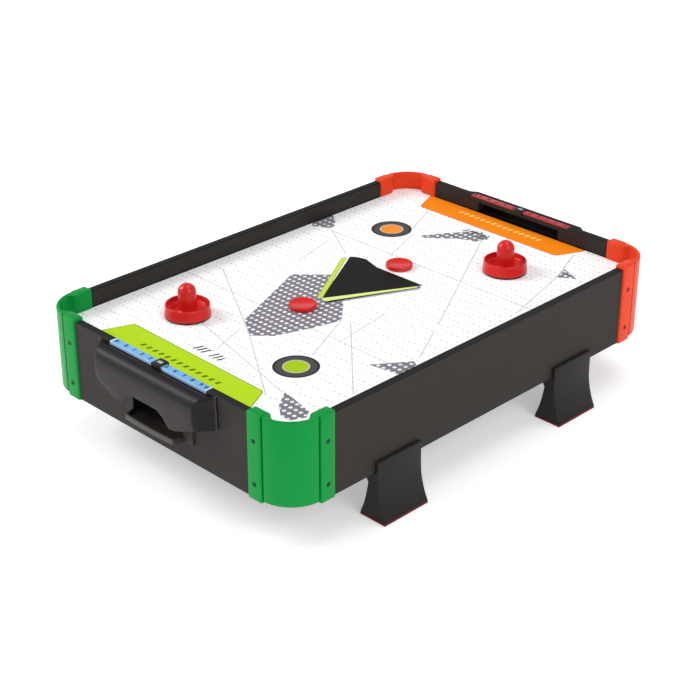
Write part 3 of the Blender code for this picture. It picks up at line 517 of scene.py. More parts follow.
# The printed art, in millimetres across and along the playing panel.
BANNER_NEAR = [(-119, -233), (97, -233), (88, -212), (75, -187), (-101, -184), (-111, -212)]
BANNER_FAR = [(-105, 200), (74, 200), (88, 231), (88, 233), (-118, 233), (-118, 231)]
PATCHES = [
    [
        (-36, -109),
        (-9, -127),
        (7, -112),
        (20, -75),
        (26, -52),
        (24, -45),
        (3, -22),
        (-50, 14),
        (-77, -12),
    ],
    [(103, -92), (150, -84), (140, -68), (126, -60)],
    [(88, -176), (100, -194), (115, -206), (125, -205), (131, -192), (125, -184), (100, -178)],
    [(-53, 143), (-45, 143), (-20, 165), (-22, 190), (-40, 165)],
    [(-20, 165), (-3, 172), (0, 186), (-15, 195), (-22, 190)],
    [(-154, 90), (-147, 84), (-128, 95), (-138, 108), (-154, 120)],
    [(106, 162), (122, 172), (100, 182)],
]
TRACES = [
    ((-133, -50), (-15, -123)),
    ((-15, -123), (80, -190)),
    ((35, -45), (130, -138)),
    ((100, -5), (125, -52)),
    ((45, -10), (55, -75)),
    ((25, -45), (57, -115)),
    ((-60, -140), (85, -177)),
    ((-25, -125), (-10, -165)),
    ((-8, 190), (28, 125)),
    ((28, 125), (95, 5)),
    ((-60, 140), (-40, 85)),
    ((-90, 195), (-70, 150)),
    ((85, 215), (105, 165)),
    ((105, 165), (128, 75)),
    ((-125, 90), (-75, 60)),
    ((-110, 70), (-95, 15)),
]
WEDGE = [
    [(-19, -28), (-14.5, -22), (28.6, 58.3), (-66.7, 57.1)],
    [(-66.7, 57.1), (-25.7, 56), (-51.5, 63.9), (-61, 61.1)],
]
WEDGE_FLAP = [(-19, -28.5), (-12.4, -31.2), (28.4, 52.2), (24.8, 51.4)]
# Rows of slanted marks: their span on X and on Y, the pitch, the marks and gaps in a group, the ink.
MARK_SLANT = 0.35
MARK_ROWS = (
    ((-66, 42), (-206.8, -202), 8.2, 20, (95, 120, 15)),
    ((-68, 40), (216.5, 221.5), 7.3, 20, (255, 212, 120)),
    ((-28, 8), (-178.5, -169), 5.2, 4, (30, 30, 32)),
    ((-33, 1), (182.5, 191), 5.2, 4, (50, 60, 85)),
)
RINGS = (((61.8, -138.1), (158, 192, 12)), ((-84.9, 135.4), (238, 140, 40)))
RING_RADIUS = 20.5
LATTICE_PITCH = (6.0, 7.35)
LATTICE_PHASE = (2.0, -6.5)


def playing_surface():
    """White panel with its printed art and its lattice of air holes."""
    paint = Paint("printed_panel", Specular_IOR_Level=0.06)
    plane = paint.tree.nodes.new("ShaderNodeCombineXYZ")
    paint.put(plane.inputs[0], paint.x)
    paint.put(plane.inputs[1], paint.y)
    plane.inputs[2].default_value = 1
    paint.flat = plane.outputs[0]

    shifted = paint.vector("SUBTRACT", paint.flat, (*LATTICE_PHASE, 1))
    cells = paint.vector("MULTIPLY", shifted, (1 / LATTICE_PITCH[0], 1 / LATTICE_PITCH[1], 0))
    offset = paint.vector("FRACTION", paint.vector("ADD", cells, (100.5, 100.5, 0)))
    offset = paint.vector("SUBTRACT", offset, (0.5, 0.5, 0))
    lattice = paint.vector("LENGTH", paint.vector("MULTIPLY", offset, (*LATTICE_PITCH, 0)))
    holes = paint.inside(paint.math("SUBTRACT", lattice, 1.1), 0.8)

    cloud = paint.noise(80, 3)
    tone = paint.mix(linear(246, 246, 247), linear(252, 252, 252), cloud)
    for height in (-78, 90):
        band = paint.inside(paint.stroke((-153, height), (153, height), 1.5))
        tone = paint.mix(tone, linear(212, 214, 212), band)
    traces = paint.nearest([paint.stroke(start, stop, 1.0) for start, stop in TRACES])
    tone = paint.mix(tone, linear(190, 192, 188), paint.inside(traces, 0.4))

    patches = paint.nearest([paint.within(outline) for outline in PATCHES])
    dots = paint.inside(paint.math("SUBTRACT", lattice, 1.75), 0.6)
    ground = paint.mix(linear(122, 117, 128), linear(250, 250, 250), dots)
    tone = paint.mix(tone, ground, paint.inside(patches))

    wedge = paint.nearest([paint.within(outline) for outline in WEDGE])
    flap = paint.within(WEDGE_FLAP)
    rule = paint.stroke((-10.5, -32), (29, 54.5), 3)
    bar = paint.stroke((-68.7, 51.4), (-21.2, -28.6), 5.4)
    shade = paint.stroke((-8.8, -33), (30.5, 51), 3)
    tone = paint.mix(tone, linear(95, 95, 92), paint.inside(shade, 4))
    tone = paint.mix(tone, linear(20, 20, 18), paint.inside(paint.math("MINIMUM", wedge, rule)))
    tone = paint.mix(tone, linear(215, 230, 140), paint.inside(flap))
    tone = paint.mix(tone, linear(150, 175, 50), paint.inside(bar))
    tone = paint.mix(tone, linear(190, 215, 80), paint.inside(paint.math("ADD", bar, 0.7)))

    near = paint.within(BANNER_NEAR, 5)
    tone = paint.mix(tone, linear(130, 155, 30), paint.inside(near))
    tone = paint.mix(tone, linear(175, 210, 28), paint.inside(paint.math("ADD", near, 1.1)))
    far = paint.within(BANNER_FAR, 5)
    tone = paint.mix(tone, linear(205, 110, 30), paint.inside(far))
    tone = paint.mix(tone, linear(244, 134, 24), paint.inside(paint.math("ADD", far, 1.1)))

    for (left, right), (bottom, top), pitch, run, ink in MARK_ROWS:
        slanted = paint.math("MULTIPLY_ADD", paint.y, -MARK_SLANT, paint.x)
        start = left - MARK_SLANT * bottom
        steps = paint.math("MULTIPLY_ADD", slanted, 1 / pitch, 40 - start / pitch)
        bar = paint.math("ABSOLUTE", paint.math("SUBTRACT", paint.math("FRACT", steps), 0.42))
        bar = paint.math("MULTIPLY_ADD", bar, pitch, -0.22 * pitch)
        group = paint.math("FRACT", paint.math("MULTIPLY", steps, 1 / run))
        group = paint.math("MULTIPLY_ADD", group, run * pitch, (1 - run) * pitch)
        block = paint.within([(left, bottom), (right, bottom), (right, top), (left, top)])
        mark = paint.math("MAXIMUM", paint.math("MAXIMUM", bar, group), block)
        tone = paint.mix(tone, linear(*ink), paint.inside(mark, 0.4))

    printed = [wedge, flap, rule, bar, near, far]
    for centre, ink in RINGS:
        reach = paint.disc(centre)
        printed.append(paint.math("SUBTRACT", reach, RING_RADIUS))
        bands = ((RING_RADIUS, (38, 38, 36)), (18.3, (72, 72, 70)), (12, (190, 190, 180)), (10.8, ink))
        for radius, color in bands:
            tone = paint.mix(tone, linear(*color), paint.inside(paint.math("SUBTRACT", reach, radius)))
    clear = paint.math("SUBTRACT", 1, paint.inside(paint.nearest(printed)))
    holes = paint.math("MULTIPLY", holes, clear)
    # Painted shade: each air hole, clear of the print, is a grey dot standing for the dark inside the
    # hole.
    tone = paint.mix(tone, linear(150, 150, 154), paint.math("MULTIPLY", holes, 0.6))
    paint.set(Base_Color=tone)
    paint.set(Roughness=paint.math("MULTIPLY_ADD", cloud, 0.1, 0.3))
    paint.bump(paint.math("SUBTRACT", 1, holes), 0.1)
    return paint.material


def strip_plastic(name, color, lip):
    """The strip's coloured plastic, paler on its lip and round its ends."""
    paint = Paint(name, Specular_IOR_Level=0.3)
    cloud = paint.noise(20, 2)
    tone = paint.mix(shaded(color, 0.92), shaded(color, 1.06), cloud)
    reach = paint.math("SUBTRACT", STRIP_HALF - 2, paint.math("ABSOLUTE", paint.x))
    low = paint.math("SUBTRACT", paint.z, STRIP_TOP - 0.5)
    paint.set(Base_Color=paint.mix(tone, lip, paint.inside(paint.math("MINIMUM", reach, low), 0.5)))
    paint.set(Roughness=paint.math("MULTIPLY_ADD", cloud, 0.1, 0.35))
    paint.bump(paint.noise(0.5, 2), 0.01)
    return paint.material


def fibre_board(name, color):
    """Pressed board: short fibres over a mottled ground."""
    paint = Paint(name, Specular_IOR_Level=0.3)
    stretched = paint.vector("MULTIPLY", paint.place, (1.6, 0.35, 1))
    fibre = paint.noise(1.1, 4, stretched)
    mottle = paint.noise(14, 4)
    tone = paint.mix(shaded(color, 0.7), shaded(color, 1.35), fibre)
    paint.set(Base_Color=paint.mix(tone, shaded(color, 0.75), paint.math("MULTIPLY", mottle, 0.5)))
    paint.set(Roughness=paint.math("MULTIPLY_ADD", mottle, 0.15, 0.6))
    paint.bump(fibre, 0.08)
    return paint.material


def felt():
    """Short matted wool."""
    paint = Paint("felt", Specular_IOR_Level=0.15, Sheen_Weight=0.4)
    hair = paint.noise(0.35, 5)
    mat = paint.noise(2.4, 3)
    tone = paint.mix(linear(18, 18, 19), linear(62, 61, 62), hair)
    paint.set(Base_Color=paint.mix(tone, linear(26, 25, 26), mat))
    paint.set(Roughness=paint.math("MULTIPLY_ADD", mat, 0.1, 0.88))
    paint.bump(hair, 0.12)
    return paint.material


def rubber():
    """Dark red rubber with a dull bloom."""
    paint = Paint("foot_rubber", Specular_IOR_Level=0.3)
    bloom = paint.noise(6, 4)
    grain = paint.noise(0.5, 3)
    tone = paint.mix(linear(92, 24, 30), linear(122, 40, 46), bloom)
    paint.set(Base_Color=paint.mix(tone, linear(60, 18, 22), paint.math("MULTIPLY", grain, 0.35)))
    paint.set(Roughness=paint.math("MULTIPLY_ADD", bloom, 0.15, 0.68))
    paint.bump(grain, 0.05)
    return paint.material


def metal(name, dark, pale, roughness):
    """Drawn or plated metal with fine scratches."""
    paint = Paint(name, Metallic=1.0)
    streak = paint.noise(0.8, 4, paint.vector("MULTIPLY", paint.place, (1, 1, 0.15)))
    blot = paint.noise(3, 3)
    share = paint.math("MULTIPLY", paint.math("ADD", streak, blot), 0.5)
    paint.set(Base_Color=paint.mix(dark, pale, share))
    paint.set(Roughness=paint.math("MULTIPLY_ADD", streak, 0.2, roughness - 0.1))
    paint.bump(streak, 0.02)
    return paint.material


def battery_sleeve():
    """A plain printed sleeve, two-tone along the cell."""
    paint = Paint("cell_sleeve")
    cloud = paint.noise(5, 2)
    tone = paint.mix(linear(44, 46, 50), linear(58, 60, 64), cloud)
    from_middle = paint.math("ABSOLUTE", paint.math("ADD", paint.y, CELL_MIDDLE))
    reach = paint.math("SUBTRACT", from_middle, 15)
    tone = paint.mix(tone, linear(196, 150, 70), paint.inside(paint.math("MULTIPLY", reach, -1), 0.4))
    cap = paint.math("SUBTRACT", 23.6, from_middle)
    paint.set(Base_Color=paint.mix(tone, linear(190, 190, 190), paint.inside(cap, 0.3)))
    paint.set(Roughness=paint.math("MULTIPLY_ADD", cloud, 0.1, 0.3))
    paint.bump(paint.noise(1.5, 2), 0.01)
    return paint.material


GREEN = moulded("green_moulding", linear(0, 142, 58), 0.36, specular=0.12)
ORANGE = moulded("orange_moulding", linear(226, 66, 28), 0.36, specular=0.15)
BLACK = moulded("black_moulding", linear(38, 35, 34), 0.5, specular=0.2)
GOAL_BLACK = goal_moulding()
LEG_BLACK = moulded("leg_moulding", linear(36, 34, 32), 0.5, 0.02, specular=0.15)
RED = moulded("red_moulding", linear(208, 32, 30), 0.25, 0.004, specular=0.3)
FOIL = rail_foil()
PRINT = playing_surface()
BLUE_STRIP = strip_plastic("blue_strip_plastic", linear(112, 172, 226), linear(180, 214, 250))
RED_STRIP = strip_plastic("red_strip_plastic", linear(178, 60, 68), linear(120, 60, 62))
BOARD = fibre_board("bottom_fibre_board", linear(62, 56, 50))
FELT = felt()
RUBBER = rubber()
DARK_STEEL = metal("blackened_screw_steel", linear(46, 46, 48), linear(92, 92, 94), 0.4)
BRIGHT_STEEL = metal("motor_can_steel", linear(170, 170, 170), linear(215, 215, 212), 0.3)
CELL = battery_sleeve()
INK = moulded("numeral_ink", linear(28, 42, 70), 0.5)
RED_INK = moulded("red_numeral_ink", linear(90, 24, 32), 0.5)
WINDOW = moulded("window_plastic", linear(176, 176, 184), 0.2)


def refinish(look, slot, *names):
    """Gives CAD nodes that stay their finished material."""
    for name in names:
        item = NODES[name]
        if not item.material_slots:
            item.data.materials.append(look)
        for holder in item.material_slots:
            holder.link = "OBJECT"
            holder.material = look


refinish(PRINT, "white_panel", "playfield")
refinish(FOIL, "rail_laminate", "rail_left", "rail_right", "rail_near_end", "rail_far_end")
refinish(BOARD, "bottom_board", "bottom_panel")
refinish(BLACK, "black_plastic", "fan_housing", "fan_impeller", "fan_guard", "battery_box")
refinish(BLACK, "black_plastic", "battery_door", "switch_body", "switch_rocker")
refinish(DARK_STEEL, "blackened_steel", "door_screw")
refinish(BRIGHT_STEEL, "motor_steel", "motor")
refinish(CELL, "battery_sleeve", "battery_1", "battery_2", "battery_3", "battery_4")


# ---- corner mouldings ---------------------------------------------------------------------------
def across_diagonal(low, high):
    """The box on the other side of a corner's diagonal: x and y change places and signs."""
    return (-high[1], -high[0], low[2]), (-low[1], -low[0], high[2])


def both_arms(low, high):
    return box_mesh(low, high), box_mesh(*across_diagonal(low, high))


def shell_mesh():
    """The corner's curved wall, with a rounded rim, run a little way into both collars."""
    low = COLLAR_BOTTOM + 2.2
    high = COLLAR_TOP - 0.3
    edge = 1.3
    inner = SHELL_RADIUS - SHELL_THICKNESS
    section = arc((SHELL_RADIUS - edge, high - edge), edge, 0, 90, 5)
    section += arc((inner + edge, high - edge), edge, 90, 180, 5)
    section += arc((inner + edge, low + edge), edge, 180, 270, 3)
    section += arc((SHELL_RADIUS - edge, low + edge), edge, 270, 360, 3)
    stations = [(270, -1.0), *((270 + 90 * step / 48, 0) for step in range(49)), (360, 1.0)]
    sections = []
    for degrees, extra in stations:
        angle = math.radians(degrees)
        outward = Vector((math.cos(angle), math.sin(angle), 0))
        onward = Vector((-outward.y, outward.x, 0))
        base = Vector((-ARC_CENTRE, ARC_CENTRE, 0)) + onward * extra
        sections.append([base + outward * radius + Vector((0, 0, height)) for radius, height in section])
    return loft_mesh(sections)


def corner_mesh():
    """The near right corner, its outer corner at the origin and the rink towards -X and +Y."""
    collar_low = (-COLLAR_INNER, COLLAR_START, COLLAR_BOTTOM)
    collar, other_collar = both_arms(collar_low, (0, COLLAR_END, COLLAR_TOP))
    steps = [(shell_mesh(), "UNION"), (rounded(other_collar, 1.8, 4), "UNION")]
    web = [(35.5, 4), (35.5, 10.8), (34.5, 10.8)]
    web += curve_through([(34, 10.6), (31.5, 9.6), (29, 7.4), (26.5, 5.9), (24, 5.5)], 4) + [(24, 4)]
    one_web = [(-across, along) for along, across in web]
    other_web = [(-along, across) for along, across in reversed(web)]
    for outline in (one_web, other_web):
        steps.append((prism_mesh(outline, PLAYFIELD_TOP + GAP, COLLAR_TOP - 0.7), "UNION"))

    top_of_tongue = RAIL_TOP - 1 + GAP
    pocket_low = (-TONGUE_INNER - GAP, COLLAR_START + WEB, BODY_BOTTOM + 1 - GAP)
    pocket_high = (GAP - TONGUE_OUTER, COLLAR_END + 2, top_of_tongue)
    relief_low = (-COLLAR_INNER - 1, COLLAR_START - 1, COLLAR_BOTTOM - 1)
    relief_high = (-RAIL_INNER, COLLAR_END + 1, PLAYFIELD_TOP + GAP)
    groove_low = (-2.4, COLLAR_START - 1.7, COLLAR_BOTTOM - 2)
    groove_high = (2, COLLAR_START + 0.3, COLLAR_TOP + 2)
    for low, high in ((pocket_low, pocket_high), (relief_low, relief_high), (groove_low, groove_high)):
        steps += [(tool, "DIFFERENCE") for tool in both_arms(low, high)]

    sink = [(0, 1), (3.1, 1), (2.6, 0), (2.1, -0.45), (2.1, -1.4), (1.2, -1.4), (1.2, -3), (0, -3)]
    for height in SCREW_HEIGHTS:
        along_x = moved(turned_mesh(sink, 32), angle=90, axis="Y")
        along_y = moved(turned_mesh(sink, 32), angle=90, axis="X")
        moved(along_x, (0, SCREW_FROM_CORNER, BODY_BOTTOM + height))
        moved(along_y, (-SCREW_FROM_CORNER, 0, BODY_BOTTOM + height))
        steps += [(along_x, "DIFFERENCE"), (along_y, "DIFFERENCE")]
    return finished(combined(rounded(collar, 1.8, 4), *steps))


def screw_mesh(head_radius, head_height, shank_radius, shank_length):
    """A cross-slotted screw along Z, its head's underside at 0."""
    edge = head_height * 0.45
    rise = head_height - edge
    crown = [(0, head_height)]
    crown += [(head_radius * math.sin(a), edge + rise * math.cos(a)) for a in (0.4, 0.8, 1.2, 1.57)]
    tip = [(head_radius, 0), (shank_radius, 0), (shank_radius, -shank_length * 0.85), (0, -shank_length)]
    body = turned_mesh(crown + tip, 32)
    arm = head_radius * 0.62
    slot = head_radius * 0.14
    floor = head_height * 0.3
    one = box_mesh((-arm, -slot, floor), (arm, slot, head_height + 1))
    other = box_mesh((-slot, -arm, floor), (slot, arm, head_height + 1))
    return finished(combined(body, (one, "DIFFERENCE"), (other, "DIFFERENCE")))


def add_corners():
    corner = corner_mesh()
    screw = screw_mesh(1.8, 0.8, 0.9, 6.4)
    seat = 1.1
    corners = (
        ("near_right", 1, -1, 0, GREEN, "green_plastic"),
        ("far_right", 1, 1, 90, ORANGE, "orange_plastic"),
        ("far_left", -1, 1, 180, ORANGE, "orange_plastic"),
        ("near_left", -1, -1, 270, GREEN, "green_plastic"),
    )
    for name, side_x, side_y, degrees, look, slot in corners:
        place = Vector((side_x * HALF_WIDTH, side_y * HALF_LENGTH, 0))
        turn = math.radians(degrees)
        node = "corner_" + name
        add_piece("fine_" + node, corner, look, slot, "frame", [node], place, (0, 0, turn))
        spin = Matrix.Rotation(turn, 3, "Z")
        arms = (
            ("a", (-seat, SCREW_FROM_CORNER), (0, math.pi / 2, turn)),
            ("b", (-SCREW_FROM_CORNER, seat), (math.pi / 2, 0, turn)),
        )
        for arm, (x, y), aim in arms:
            for level, height in zip(("low", "high"), SCREW_HEIGHTS):
                spot = place + spin @ Vector((x, y, BODY_BOTTOM + height))
                node = "screw_%s_%s_%s" % (name, arm, level)
                piece = ("fine_" + node, screw, DARK_STEEL, "blackened_steel")
                add_piece(*piece, "frame", [node], spot, aim)


# ---- goal boxes ---------------------------------------------------------------------------------
# Levels of the hood: depth out from the rail at the front and at the ends, height over the rail's
# top, how much the height gains towards the ends, and half lengths of the front and the whole.
HOOD_SKIN = [
    (0.3, 0.3, -4.3, 3.7, 66, 76),
    (3.2, 1.3, -2.6, 1.4, 66, 76),
    (6.5, 1.3, -1.8, 0, 66, 76),
    (12.4, 1.3, -4.6, 0, 65, 76),
    (16, 1.3, -10.3, 0, 62.5, 76.5),
    (17, 1.3, -17, 0, 62, 77),
    (16.6, 1.3, -24, 0, 62, 77),
    (15.2, 1.3, -30.3, 0, 62.5, 77),
]
HOOD_LINING = [
    (0.3, 0.3, -6.6, 3.7, 64.5, 73.7),
    (3.6, 0.3, -4.8, 1.4, 64.5, 73.7),
    (6.4, 0.3, -3.9, 0, 64.5, 73.7),
    (11.2, 0.3, -6.3, 0, 63.5, 73.7),
    (14.1, 0.3, -11.2, 0, 61, 74.2),
    (15, 0.3, -17.1, 0, 60.5, 74.7),
    (14.6, 0.3, -23.8, 0, 60.5, 74.7),
    (13.2, 0.3, -29.9, 0, 61, 74.7),
]
HOOD_STRAIGHT = 0.38
FOOT_FROM = 17
FOOT_TO = 68
FOOT_DROP = 13


def hood_mesh():
    """The near hood: a gutter at the rail and a rolled brow, with a lining behind its skin."""
    skin = curve_through(HOOD_SKIN, 4)
    lining = curve_through(HOOD_LINING, 4)
    stations = [HOOD_STRAIGHT * step / 8 for step in range(8)]
    stations += [HOOD_STRAIGHT + (1 - HOOD_STRAIGHT) * step / 18 for step in range(19)]
    stations = [-share for share in reversed(stations[1:])] + stations
    rows = [*skin, *reversed(lining)]
    sections = [[hood_point(row, station) for row in rows] for station in stations]
    return loft_mesh(sections, paired=True)


def hood_point(row, station):
    """A point of the hood, its station from -1 to 1; the ends sweep back and a foot hangs by each."""
    depth, end_depth, height, end_rise, front, end = row
    share = max(0, (abs(station) - HOOD_STRAIGHT) / (1 - HOOD_STRAIGHT))
    turned = smooth_step(share)
    x = front * min(1, abs(station) / HOOD_STRAIGHT) + (end - front) * share
    y = depth + (end_depth - depth) * turned
    side = smooth_step((abs(x) - FOOT_FROM) / 17) * min(1, max(0.1, (FOOT_TO - abs(x)) / 34))
    foot = FOOT_DROP * side * smooth_step((-20 - height) / 10)
    return math.copysign(x, station), -y, RAIL_TOP + height + end_rise * turned - foot


def tray_outline(inset, back):
    """The tray before the pocket's mouth, seen from above: it narrows outwards and bows a little."""
    back_half = MOUTH_HALF + POCKET_WALL - inset
    front_half = back_half - TRAY_NARROWING
    front = inset - TRAY_REACH - 1
    bow = [(front_half * step / 20, front + (step / 20) ** 2) for step in range(-20, 21)]
    return [(-back_half, back), (-back_half, -2), *bow, (back_half, -2), (back_half, back)]


def goal_box_mesh():
    """The near goal box: hood outside the rail, pocket inside it; its rail face is at y = 0."""
    pocket_low = (-POCKET_OUTER, MOUTH_FRONT, POCKET_BOTTOM)
    pocket = box_mesh(pocket_low, (POCKET_OUTER, POCKET_DEPTH, POCKET_TOP))
    tray = prism_mesh(tray_outline(0, -1), POCKET_BOTTOM - 0.8, POCKET_BOTTOM + TRAY_RIM)
    low, high = POCKET_TOP - 1.1, POCKET_TOP + 8.3
    near_side, far_side = POCKET_HALF - 0.3, POCKET_OUTER - 0.3
    right_cheek = box_mesh((near_side, -15, low), (far_side, -GAP, high))
    left_cheek = box_mesh((-far_side, -15, low), (-near_side, -GAP, high))
    parts = (pocket, rounded(tray, 0.5, 3, 60), right_cheek, left_cheek)
    steps = [(tool, "UNION") for tool in parts]
    hollow_low = (-POCKET_HALF, MOUTH_FRONT + POCKET_WALL, POCKET_BOTTOM + POCKET_WALL)
    hollow_high = (POCKET_HALF, POCKET_DEPTH - POCKET_WALL, POCKET_TOP - POCKET_WALL)
    floor, roof = POCKET_BOTTOM + POCKET_WALL + 0.1, POCKET_TOP - POCKET_WALL - 0.1
    opening = prism_mesh(tray_outline(POCKET_WALL, 2), floor, roof)
    steps += [(box_mesh(hollow_low, hollow_high), "DIFFERENCE"), (opening, "DIFFERENCE")]
    return finished(combined(hood_mesh(), *steps))


# ---- score strips -------------------------------------------------------------------------------
def along_x(outline, low, high):
    """An outline in YZ, made solid between two places on X."""
    mesh = prism_mesh(outline, low, high)
    mesh.transform(Matrix(((0, 0, 1, 0), (1, 0, 0, 0), (0, 1, 0, 0), (0, 0, 0, 1))))
    return mesh


def along_y(outline, low, high):
    """An outline in XZ, made solid between two places on Y."""
    mesh = prism_mesh([(x, -z) for x, z in outline], low, high)
    mesh.transform(Matrix(((1, 0, 0, 0), (0, 0, 1, 0), (0, -1, 0, 0), (0, 0, 0, 1))))
    return mesh


def strip_mesh():
    """A score strip: a plate on the rail's shelf, with a lip down the rail's outer face."""
    outline = [
        (0.2, STRIP_LIP_BOTTOM),
        (2, STRIP_LIP_BOTTOM),
        (2, STRIP_BOTTOM),
        (7.8, STRIP_BOTTOM),
        (7.8, STRIP_TOP),
        (0.8, STRIP_TOP),
        (0.2, STRIP_TOP - 0.6),
    ]
    return finished(rounded(along_x(outline, -STRIP_HALF, STRIP_HALF), 0.25, 2, 20))


def slider_mesh():
    """An arched frame that slides on the score strip, with a window over one mark."""
    outer = -1.3
    inner = RAIL_THICKNESS + GAP + 1.2
    foot = STRIP_LIP_BOTTOM - 1
    crown = [(SLIDER_HALF, foot), (SLIDER_HALF, 124.9), (5.1, 125.5), (3.8, 125.8), (0, 125.9)]
    outline = crown + [(-x, z) for x, z in reversed(crown[:-1])]
    frame_block = rounded(along_y(outline, outer, inner), 0.35, 3, 60)
    under = box_mesh((-8, -0.1, foot - 1), (8, RAIL_THICKNESS + GAP, STRIP_TOP + GAP))
    over_hood = box_mesh((-8, outer - 1, foot - 1), (8, 0.1, STRIP_LIP_BOTTOM + 0.8))
    window = box_mesh((-3.4, 2, STRIP_TOP), (3.4, 6.2, STRIP_TOP + 4))
    steps = [(tool, "DIFFERENCE") for tool in (under, over_hood, window)]
    return finished(combined(frame_block, *steps))


def window_mesh():
    """A clear insert, crowned like the slider around it."""
    crown = [(3.3, 124.9), (3.3, 125.3), (1.7, 125.5), (0, 125.55)]
    outline = crown + [(-x, z) for x, z in reversed(crown[:-1])]
    return finished(rounded(along_y(outline, 2.1, 6.1), 0.15, 2, 60))


def numerals_mesh():
    """Counting numerals along the strip, low to high along X, with a ring at each end of the row."""
    pitch, middle_x, middle_y = 10.85, 3.4, 4.1
    meshes = []
    for number in range(10):
        text = bpy.data.curves.new("numeral", "FONT")
        text.body = str(number)
        text.size = 6
        text.extrude = 0.1
        text.offset = 0.1
        text.resolution_u = 6
        text.align_x = "CENTER"
        text.align_y = "CENTER"
        holder = scratch_object(text)
        mesh = evaluated(holder)
        bpy.data.objects.remove(holder)
        meshes.append(moved(mesh, (middle_x + (number - 4.5) * pitch, middle_y, STRIP_TOP + 0.11)))
    ring = [(0.9, 0), (0.9, 0.2), (1.9, 0.2), (1.9, 0)]
    for x in (-57.8, 59):
        meshes.append(moved(turned_mesh(ring, 32, closed=True), (x, middle_y, STRIP_TOP + 0.01)))
    return finished(joined(*meshes))


def add_ends():
    """Both goal boxes, strips and sliders; the far ones are turned round."""
    goal = goal_box_mesh()
    strip = strip_mesh()
    slider = slider_mesh()
    window = window_mesh()
    numerals = numerals_mesh()
    ends = (
        ("near", -1, 0, BLUE_STRIP, INK, "blue_strip"),
        ("far", 1, math.pi, RED_STRIP, RED_INK, "red_strip"),
    )
    for name, side, turn, look, ink, slot in ends:
        place = (0, side * END_FACE, 0)
        aim = (0, 0, turn)
        at = (place, aim)
        body = "slider_" + name
        box_node, strip_node = "goal_box_" + name, "score_strip_" + name
        slider_node = "score_slider_" + name
        add_piece("fine_" + box_node, goal, GOAL_BLACK, "black_plastic", "frame", [box_node], *at)
        add_piece("fine_" + strip_node, strip, look, slot, "frame", [strip_node], *at)
        add_piece("numerals_" + name, numerals, ink, slot, "frame", (), *at)
        add_piece("fine_" + slider_node, slider, BLACK, "black_plastic", body, [slider_node], *at)
        add_piece("slider_window_" + name, window, WINDOW, "black_plastic", body, (), *at)


# ---- legs ---------------------------------------------------------------------------------------
def leg_mesh():
    """A clip-on leg: distance out from the rail's middle on X, height on Y, its width on Z."""
    slot = RAIL_THICKNESS / 2 + GAP
    slot_top = BODY_BOTTOM - GAP
    base = PAD_HEIGHT + GAP
    outer = curve_through([(7.5, 42), (8.1, 29), (10.2, 18.7), (13.3, 9.3), (16.1, 3.4)], 6)
    inner = curve_through([(-12.4, 4), (-9, 12.5), (-6, 24), (-4, 35.5)], 6)
    clip = curve_through([(-4, 35.5), (-6.6, 40), (-6.9, 44)], 4)[1:]
    hook_right = [(slot, slot_top), (slot, 58), (slot + 2.2, 58), (7.5, 56.8)]
    hook_left = [(-6.9, 54.6), (-slot - 1.6, 56), (-slot, 56), (-slot, slot_top)]
    outline = hook_right + outer + [(16.5, base), (-12.6, base)] + inner + clip + hook_left
    return finished(rounded(prism_mesh(outline, -LEG_WIDTH / 2, LEG_WIDTH / 2), 0.6, 3, 60))


def pad_mesh():
    """A rubber foot with grooves across its sole."""
    half = LEG_WIDTH / 2 + GAP
    groove_half = 0.8
    groove_depth = 0.7
    pad = rounded(box_mesh((-12.8, 0, -half), (16.5, PAD_HEIGHT, half)), 0.6, 3)
    steps = []
    for middle in range(-24, 25, 6):
        groove = box_mesh((-11, -1, middle - groove_half), (14.7, groove_depth, middle + groove_half))
        steps.append((groove, "DIFFERENCE"))
    return finished(combined(pad, *steps))


def add_legs():
    leg = leg_mesh()
    pad = pad_mesh()
    for side, side_name in ((-1, "left"), (1, "right")):
        for end, end_name in ((-1, "near"), (1, "far")):
            label = "%s_%s" % (side_name, end_name)
            place = (side * (SIDE_FACE - RAIL_THICKNESS / 2), end * LEG_CENTRE, 0)
            aim = (math.pi / 2, 0, 0) if side > 0 else (math.pi / 2, 0, math.pi)
            at = (place, aim)
            leg_node, pad_node = "leg_" + label, "foot_pad_" + label
            add_piece("fine_" + leg_node, leg, LEG_BLACK, "black_plastic", "frame", [leg_node], *at)
            add_piece("fine_" + pad_node, pad, RUBBER, "dark_red_rubber", "frame", [pad_node], *at)


# ---- mallets and pucks --------------------------------------------------------------------------
def mallet_mesh():
    """A hollow striker: dished ring with a domed knob."""
    knob = 8.5
    crown = 30.2 - knob
    dome = arc((0, crown), knob, 90, 0, 20)
    dome[0] = (0, crown + knob)
    stem = curve_through([(8.5, 12), (8.6, 7.6), (9.2, 5.4), (10.8, 4.4)], 4)
    dish = curve_through([(16.6, 4.4), (18.2, 5.2), (19.1, 8.2), (19.25, 9.7)], 4)
    rim = arc((19.85, 9.75), 0.6, 180, 0, 8)
    skirt = [(20.9, 2.9), (21.25, 2.3), (21.3, 1.8), (21.3, 0.3), (21.0, 0)]
    under = [(19.4, 0), (18.8, 2.2), (8.6, 2.2), (6.6, 5)]
    hollow = arc((0, crown), knob - 2, 0, 90, 10)
    hollow[-1] = (0, crown + knob - 2)
    return finished(turned_mesh(dome + stem + dish + rim + skirt + under + hollow, 96))


def felt_mesh():
    ring = [(15.3, 0), (15.3, 0.8), (15.6, 1), (20.8, 1), (21.1, 0.8), (21.1, 0.1), (20.9, 0)]
    return finished(turned_mesh(ring, 96, closed=True))


